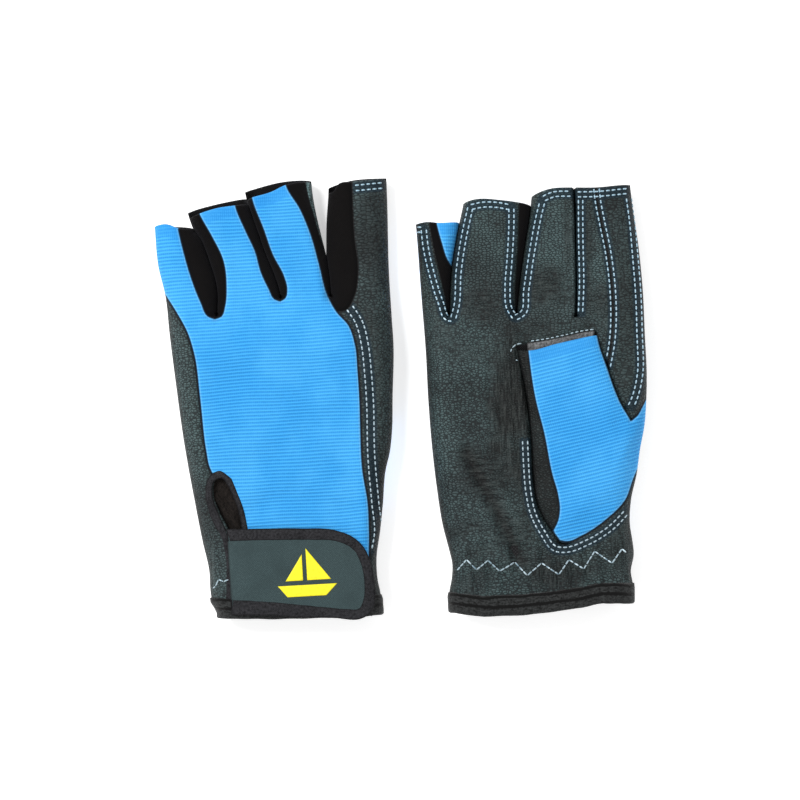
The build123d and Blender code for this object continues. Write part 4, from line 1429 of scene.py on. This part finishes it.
def stitch_face(glove, face):
    """All the rows on one face: an object for each thread and each body that they are on."""
    marks = [m for line in rows_of(glove, face) for m in stitch_marks(line)]
    plain = len(marks)
    marks += zigzag_marks(ZIGZAG) if face == "palm" else []
    centres = np.array([(np.array(a) + np.array(b)) / 2 for a, b in marks])
    bodies = body_of(glove, centres, face)
    on_index_tip = centres[:, 1] >= 170
    pale = np.arange(len(marks)) >= plain
    pale |= distance(centres, [THUMB_HOLE_ROW]) < 2 if face == "palm" else ~on_index_tip
    dented = inside(centres, dent_polygon) & (face == "palm")

    def rise(points):
        return face_rise(glove, points, face)[0]

    for colour, thread, chosen in (("blue", blue_thread, ~pale), ("pale", pale_thread, pale)):
        for body in ("hand", *FINGER_SIDES):
            mine = [marks[k] for k in np.flatnonzero(chosen & (bodies == body) & ~dented)]
            make_stitches(
                glove, f"{face}_{colour}_stitches_{body}", mine, rise, up_of(glove, face), body, thread
            )


def make_hem(glove):
    """The tape that binds the wrist, all the way round."""
    quarter = np.radians(np.linspace(0, 90, 8))
    around = []
    for up in (1, -1):
        left = [(-1, a, 0.0, up) for a in quarter]
        flat = [(0, math.pi / 2, share, up) for share in np.linspace(0, 1, 44)[1:-1]]
        right = [(1, a, 1.0, up) for a in quarter[::-1]]
        run = left + flat + right
        around += run[:-1] if up > 0 else run[::-1][:-1]
    section = [(8.2, 0.15), (7.9, 0.75), (6.0, 0.95), (3.6, 0.85), (1.4, 0.95), (-0.4, 0.8), (-1.0, 0.1)]
    section += [(-1.0, -0.8), (-0.2, -1.6), (2.0, -1.9), (5.0, -1.8), (6.6, -1.6)]
    vertices, rest = [], []
    around_so_far, last = 0.0, None
    for side, angle, share, up in around:
        for y_over, off in section:
            left_x, right_x = [
                np.interp(y_over, *glove[key].T[::-1]) for key in ("little_edge", "thumb_edge")
            ]
            inner_left, inner_right = left_x + SIDE_REACH, right_x - SIDE_REACH
            if side < 0:
                x, out = inner_left - SIDE_REACH * math.cos(angle), -math.cos(angle)
            elif side > 0:
                x, out = inner_right + SIDE_REACH * math.cos(angle), math.cos(angle)
            else:
                x, out = inner_left + (inner_right - inner_left) * share, 0.0
            rise = HAND_RISE * math.sin(angle)
            off_now = off + 0.2 * noise.noise(Vector((x / 3, y_over / 3, up * 5.0)))
            y = y_over + np.interp(x, *glove["wrist"].T) + 0.5 * noise.noise(Vector((x / 7, 1, up)))
            z = glove["middle"] + up * (rise + off_now * math.sin(angle))
            vertices.append((x + out * off_now, y, z))
            here = np.array([x, z])
        around_so_far += 0 if last is None else float(np.linalg.norm(here - last))
        last = here
        rest += [(around_so_far, y_over, 0.0) for y_over, _ in section]
    faces = []
    size, total = len(section), len(around)
    for i in range(total):
        for j in range(size):
            a, b = i * size + j, i * size + (j + 1) % size
            c, d = ((i + 1) % total) * size + (j + 1) % size, ((i + 1) % total) * size + j
            faces.append((a, b, c, d))
    values = {"rest": np.array(rest)}
    piece = make_object(
        f"{glove['name']}_hem_tape", placed(glove, vertices), faces, hem_cloth, None, values
    )
    piece.data.flip_normals()
    return piece


STRAP = [
    (-28.6, 0.6), (-10, -0.8), (1.5, -2.1), (16, -3.2), (28.8, -4), (31.6, -2.6), (34.2, 1.2), (35, 6),
    (34.7, 13.9), (33.5, 21), (31.4, 26.4), (26.9, 31.5), (19.2, 35.1), (3.7, 36.8), (-12, 37.6),
    (-20.8, 38), (-28.6, 38.4)
]
STRAP_FACE = [
    (-32, 7.6), (-15, 6.1), (0, 3.9), (12, 2.0), (22, 0.6), (27.6, 0.6), (29.4, 4), (30.2, 12),
    (29.2, 20), (25.6, 26.8), (19, 30.2), (8, 31.4), (-12, 32.4), (-32, 33)
]
STRAP_STIFFNESS = 0.45
BOAT_MIDDLE = (4.5, 17.5)
BOAT = [
    [(1.0, -3.5), (1.0, 10.5), (11.5, -3.5)], [(-0.8, -3.5), (-0.8, 8.0), (-8.5, -3.5)],
    [(-12, -5.5), (-8, -10.5), (9, -10.5), (14, -5.5)]
]


def sides_of(*sides, step):
    """An outline of straight sides, each given by its two ends."""
    return joined(*[smooth(side, step) for side in sides])


def declare(glove, body, rows):
    """Hands pieces to attach for a body, and hides the CAD node that each stands for."""
    for piece, node, slot in rows:
        attach(glove, piece, body)
        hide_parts(f"{glove['name']}_{node}")


def make_boat(glove, base, up):
    """A printed sailing boat: two sails and a hull, as one piece."""
    parts = []
    for k, shape in enumerate(BOAT):
        corners = np.array(shape) + BOAT_MIDDLE
        line = joined(*[smooth([a, b], 1.2)[:-1] for a, b in zip(corners, np.roll(corners, -1, 0))])
        area = (line[:, 0] * np.roll(line[:, 1], -1) - line[:, 1] * np.roll(line[:, 0], -1)).sum()
        line = line if area > 0 else line[::-1]
        parts.append(
            slab(glove, f"boat_{k}", line, 3.1, 3.62, base, up, yellow_print, rim=0.22, spacing=1.4)
        )
    boat = parts[0]
    with bpy.context.temp_override(active_object=boat, object=boat, selected_editable_objects=parts):
        bpy.ops.object.join()
    boat.name = f"{glove['name']}_boat_print"
    return boat


def make_strap(glove):
    """The closing strap, its tape, the hooks under it, its printed boat and its sewn-down end."""
    up = up_of(glove, "back")

    def base(points):
        root = ease((points[:, 0] + 29) / 9)
        return back_rise(glove, points, STRAP_STIFFNESS) - 1.6 * (1 - root)

    def on_back(points):
        return back_rise(glove, points)

    def over_hem(points, gap):
        """The points, kept a gap above the wrist's edge on the glove that lies on its strap."""
        line = np.array(points, float)
        if glove["palm_up"]:
            line[:, 1] = np.maximum(line[:, 1], np.interp(line[:, 0], *glove["wrist"].T) + gap)
        return line

    outline = smooth(over_hem(STRAP, -0.4), 1.5)
    face = smooth(over_hem(STRAP_FACE, 3.6), 1.5)
    strap = slab(glove, "strap_body", beside(outline, -0.8), 2.0, 3.25, base, up, strap_cloth, wave=0.03)
    tape = slab(
        glove, "strap_tape", outline, 1.25, 3.6, base, up, tape_cloth, hole=face, rim=0.7, wave=0.2
    )
    box = sides_of(
        [(-5, 9), (25, 9)], [(25.5, 9.5), (25.5, 30)], [(25, 30.5), (-5, 30.5)],
        [(-5.5, 30), (-5.5, 9.5)], step=1.5
    )
    hooks = slab(glove, "strap_hooks", box, 1.3, 1.95, base, up, hook_cloth, rim=0.2, wave=0.05)
    loops = slab(glove, "back_loops", box, -0.2, 0.75, on_back, up, loop_cloth, rim=0.3, wave=0.06)
    boat = make_boat(glove, base, up)
    end = [(-28.2, 5), (-28.2, 37), (-29.5, 38.4), (-34.6, 36), (-35.2, 30), (-34.6, 8), (-33, 4.4)]
    end_line = smooth(end[::-1] + end[-1:], 1.5)[:-1][::-1]
    anchor = slab(glove, "strap_base", end_line, -0.3, 0.7, on_back, up, leather, rim=0.5, wave=0.05)
    marks = zigzag_marks([(-36.2, 12.6), (-35.0, 13.4), (-33.4, 16.4), (-31.2, 15.4), (-28.9, 16.2)])
    make_stitches(
        glove, "strap_base_stitches", marks, lambda p: on_back(p) + 0.75, up, "hand", pale_thread, 0.3
    )
    declare(glove, "strap", [
        (strap, "strap", "strap_face"),
        (tape, "strap_binding", "binding"),
        (hooks, "hook_patch", "hook_and_loop"),
        (boat, "strap_emblem", "emblem"),
    ])
    declare(glove, "hand", [(loops, "loop_patch", "hook_and_loop"), (anchor, "strap_anchor", "leather")])


def make_opening(glove):
    """The bound keyhole at the wrist with the gusset under it, the elastic and the hem."""
    up = up_of(glove, "back")
    wide = smooth([
        (-31.4, 0.5), (-31.4, 34), (-35.6, 45), (-37, 54), (-35.2, 61.4), (-30.6, 64.2), (-25.2, 60.4)
    ])
    wide = joined(wide, smooth([(-25.2, 60.4), (-21.6, 50), (-19.4, 40), (-18.6, 34), (-18.6, 0.5)])[1:])
    narrow = smooth([
        (-28.0, -1), (-28.0, 35.6), (-31.6, 45), (-33.9, 54), (-32.6, 59.6), (-29.8, 60.6), (-26.6, 56.6)
    ])
    narrow = joined(narrow, smooth([(-26.6, 56.6), (-23.4, 47.6), (-21.8, 37.6), (-21.8, -1)])[1:])
    under_it = smooth([
        (-29.5, 2), (-29.5, 36), (-33.6, 46), (-35, 54), (-33.4, 60), (-29.5, 61.6), (-26, 58)
    ])
    under_it = joined(under_it, smooth([(-26, 58), (-22.6, 48), (-20, 38), (-20, 2)])[1:])

    def on_back(points):
        return back_rise(glove, points)

    def sunk(points):
        x, y = points.T
        crumple = 1.2 * np.sin((x * 0.9 + 0.35 * y + 4 * ripple(points, 14, 5)) * 1.15)
        crumple += 0.9 * ripple(points, 5, 7)
        return on_back(points) - 2.6 + crumple * ease((60 - y) / 12)

    def in_palm(points):
        return pillow(glove, points, "palm")[1]

    binding = slab(
        glove, "opening_tape", wide[::-1], -1.7, 0.85, on_back, up, tape_cloth, hole=narrow[::-1],
        spacing=1.6, rim=0.8, wave=0.12
    )
    gusset = slab(
        glove, "gusset_cloth", under_it[::-1], -0.5, 0.1, sunk, up, gusset_cloth, spacing=1.2, rim=0.2
    )
    box = sides_of(
        [(-29, 17), (29, 17)], [(29, 18), (29, 26)], [(29, 27), (-29, 27)], [(-29, 26), (-29, 18)], step=2
    )
    elastic = slab(
        glove, "wrist_elastic_band", box, -2.2, -1.5, in_palm, -up, elastic_cloth, rim=0.2, wave=0.1
    )
    hem = make_hem(glove)
    declare(glove, "hand", [
        (binding, "opening_binding", "binding"),
        (gusset, "wrist_gusset", "gusset"),
        (elastic, "wrist_elastic", "elastic"),
        (hem, "wrist_binding", "binding"),
    ])


def make_thumb_hem(glove):
    """The rough hem beyond the thumb's stretch fabric, with its stitches and a loose loop of thread."""
    up = up_of(glove, "palm")
    low_edge = smooth([(-3.2, 111.2), (10, 113.8), (26.2, 116.9)])
    high_edge = smooth([(26.4, 120.4), (21, 119.8), (12, 118.0), (4, 116.6), (-3.4, 115.8)])

    def base(points):
        return thumb_inner_rise(glove, points)

    outline = joined(low_edge, high_edge)
    hem = slab(
        glove, "thumb_hem", outline, 0.0, 2.3, base, up, thumb_hem_cloth, spacing=1.2, rim=0.5, wave=0.3
    )
    attach(glove, hem, "thumb")
    loop = smooth([
        (-5.4, 115.6), (-8.2, 115.2), (-10.2, 113.4), (-10.8, 110.8), (-9.4, 108.6), (-6.4, 108.0)
    ])
    for name, marks, lift, thick in (
        ("thumb_hem_stitches", stitch_marks(beside(high_edge, 0.5), 2.2, 1.5), 2.2, 0.3),
        ("thumb_loop_stitches", stitch_marks(loop, 2.6, 2.0), 1.6, 0.26),
    ):
        make_stitches(glove, name, marks, lambda p: base(p) + lift, up, "thumb", pale_thread, thick)


def make_glove(glove):
    n = glove["name"]
    skins = Skins(glove)
    for face in ("palm", "back"):
        make_face(glove, face, skins)
    make_thumb(glove, skins)
    made = skins.finish()
    for (panel, body, _), piece in made.items():
        attach(glove, piece, body)
    nodes = {
        ("palm", "hand"): ["palm_panel"],
        ("side", "hand"): ["side_panel"],
        ("back", "hand"): ["back_panel"],
        ("thumb_blue", "thumb"): ["thumb_back", "thumb_base"],
        ("thumb_leather", "thumb"): ["thumb_palm"],
    }
    for finger in FINGER_SIDES:
        nodes["palm", finger] = [f"{finger}_palm"]
        wall = "fourchettes" if finger in ("ring", "middle") else "fourchette"
        nodes["fourchette", finger] = [f"{finger}_{wall}"]
        if finger == "index":
            nodes["side", finger] = ["index_back", "index_strip"]
        else:
            nodes["back", finger] = [f"{finger}_back"]
    for (panel, body), names in nodes.items():
        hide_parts(*[f"{n}_{name}" for name in names])
    for face in ("palm", "back"):
        stitch_face(glove, face)
    make_opening(glove)
    make_strap(glove)
    make_thumb_hem(glove)


# ---- Camera, light and floor ----


LENS, SENSOR = 250, 36  # in mm
VIEW_WIDTH = 0.352  # in metres, at the height of the gloves
FLOOR_REACH = 3


def make_stage():
    """The pale floor."""
    mesh = bpy.data.meshes.new("floor")
    corners = [(x * FLOOR_REACH, y * FLOOR_REACH, 0) for x, y in ((-1, -1), (1, -1), (1, 1), (-1, 1))]
    mesh.from_pydata(corners, [], [(0, 1, 2, 3)])
    mesh.materials.append(paper_material())
    floor = bpy.data.objects.new("floor", mesh)
    bpy.context.scene.collection.objects.link(floor)


def add_light(name, spot, size, power):
    data = bpy.data.lights.new(name, "AREA")
    data.shape = "DISK"
    data.size = size
    data.energy = power
    lamp = bpy.data.objects.new(name, data)
    lamp.location = spot
    lamp.rotation_euler = (-Vector(spot)).to_track_quat("-Z", "Y").to_euler()
    bpy.context.scene.collection.objects.link(lamp)


def make_camera():
    data = bpy.data.cameras.new("camera")
    data.lens = LENS
    data.sensor_width = SENSOR
    camera = bpy.data.objects.new("camera", data)
    camera.location = (0.0001, 0.0006, 0.012 + VIEW_WIDTH / 2 / (SENSOR / 2 / LENS))
    bpy.context.scene.collection.objects.link(camera)
    bpy.context.scene.camera = camera
    bpy.context.scene.view_settings.view_transform = "Standard"


def make_world():
    world = bpy.data.worlds.new("studio")
    world.use_nodes = True
    world.node_tree.nodes["Background"].inputs["Color"].default_value = (1, 1, 1, 1)
    world.node_tree.nodes["Background"].inputs["Strength"].default_value = 0.5
    bpy.context.scene.world = world


make_glove(LEFT)
make_glove(RIGHT)
make_stage()
make_world()
make_camera()
add_light("key", (-0.75, 0.55, 1.15), 0.6, 19)
add_light("fill", (0.7, -0.5, 1.3), 1.0, 6)
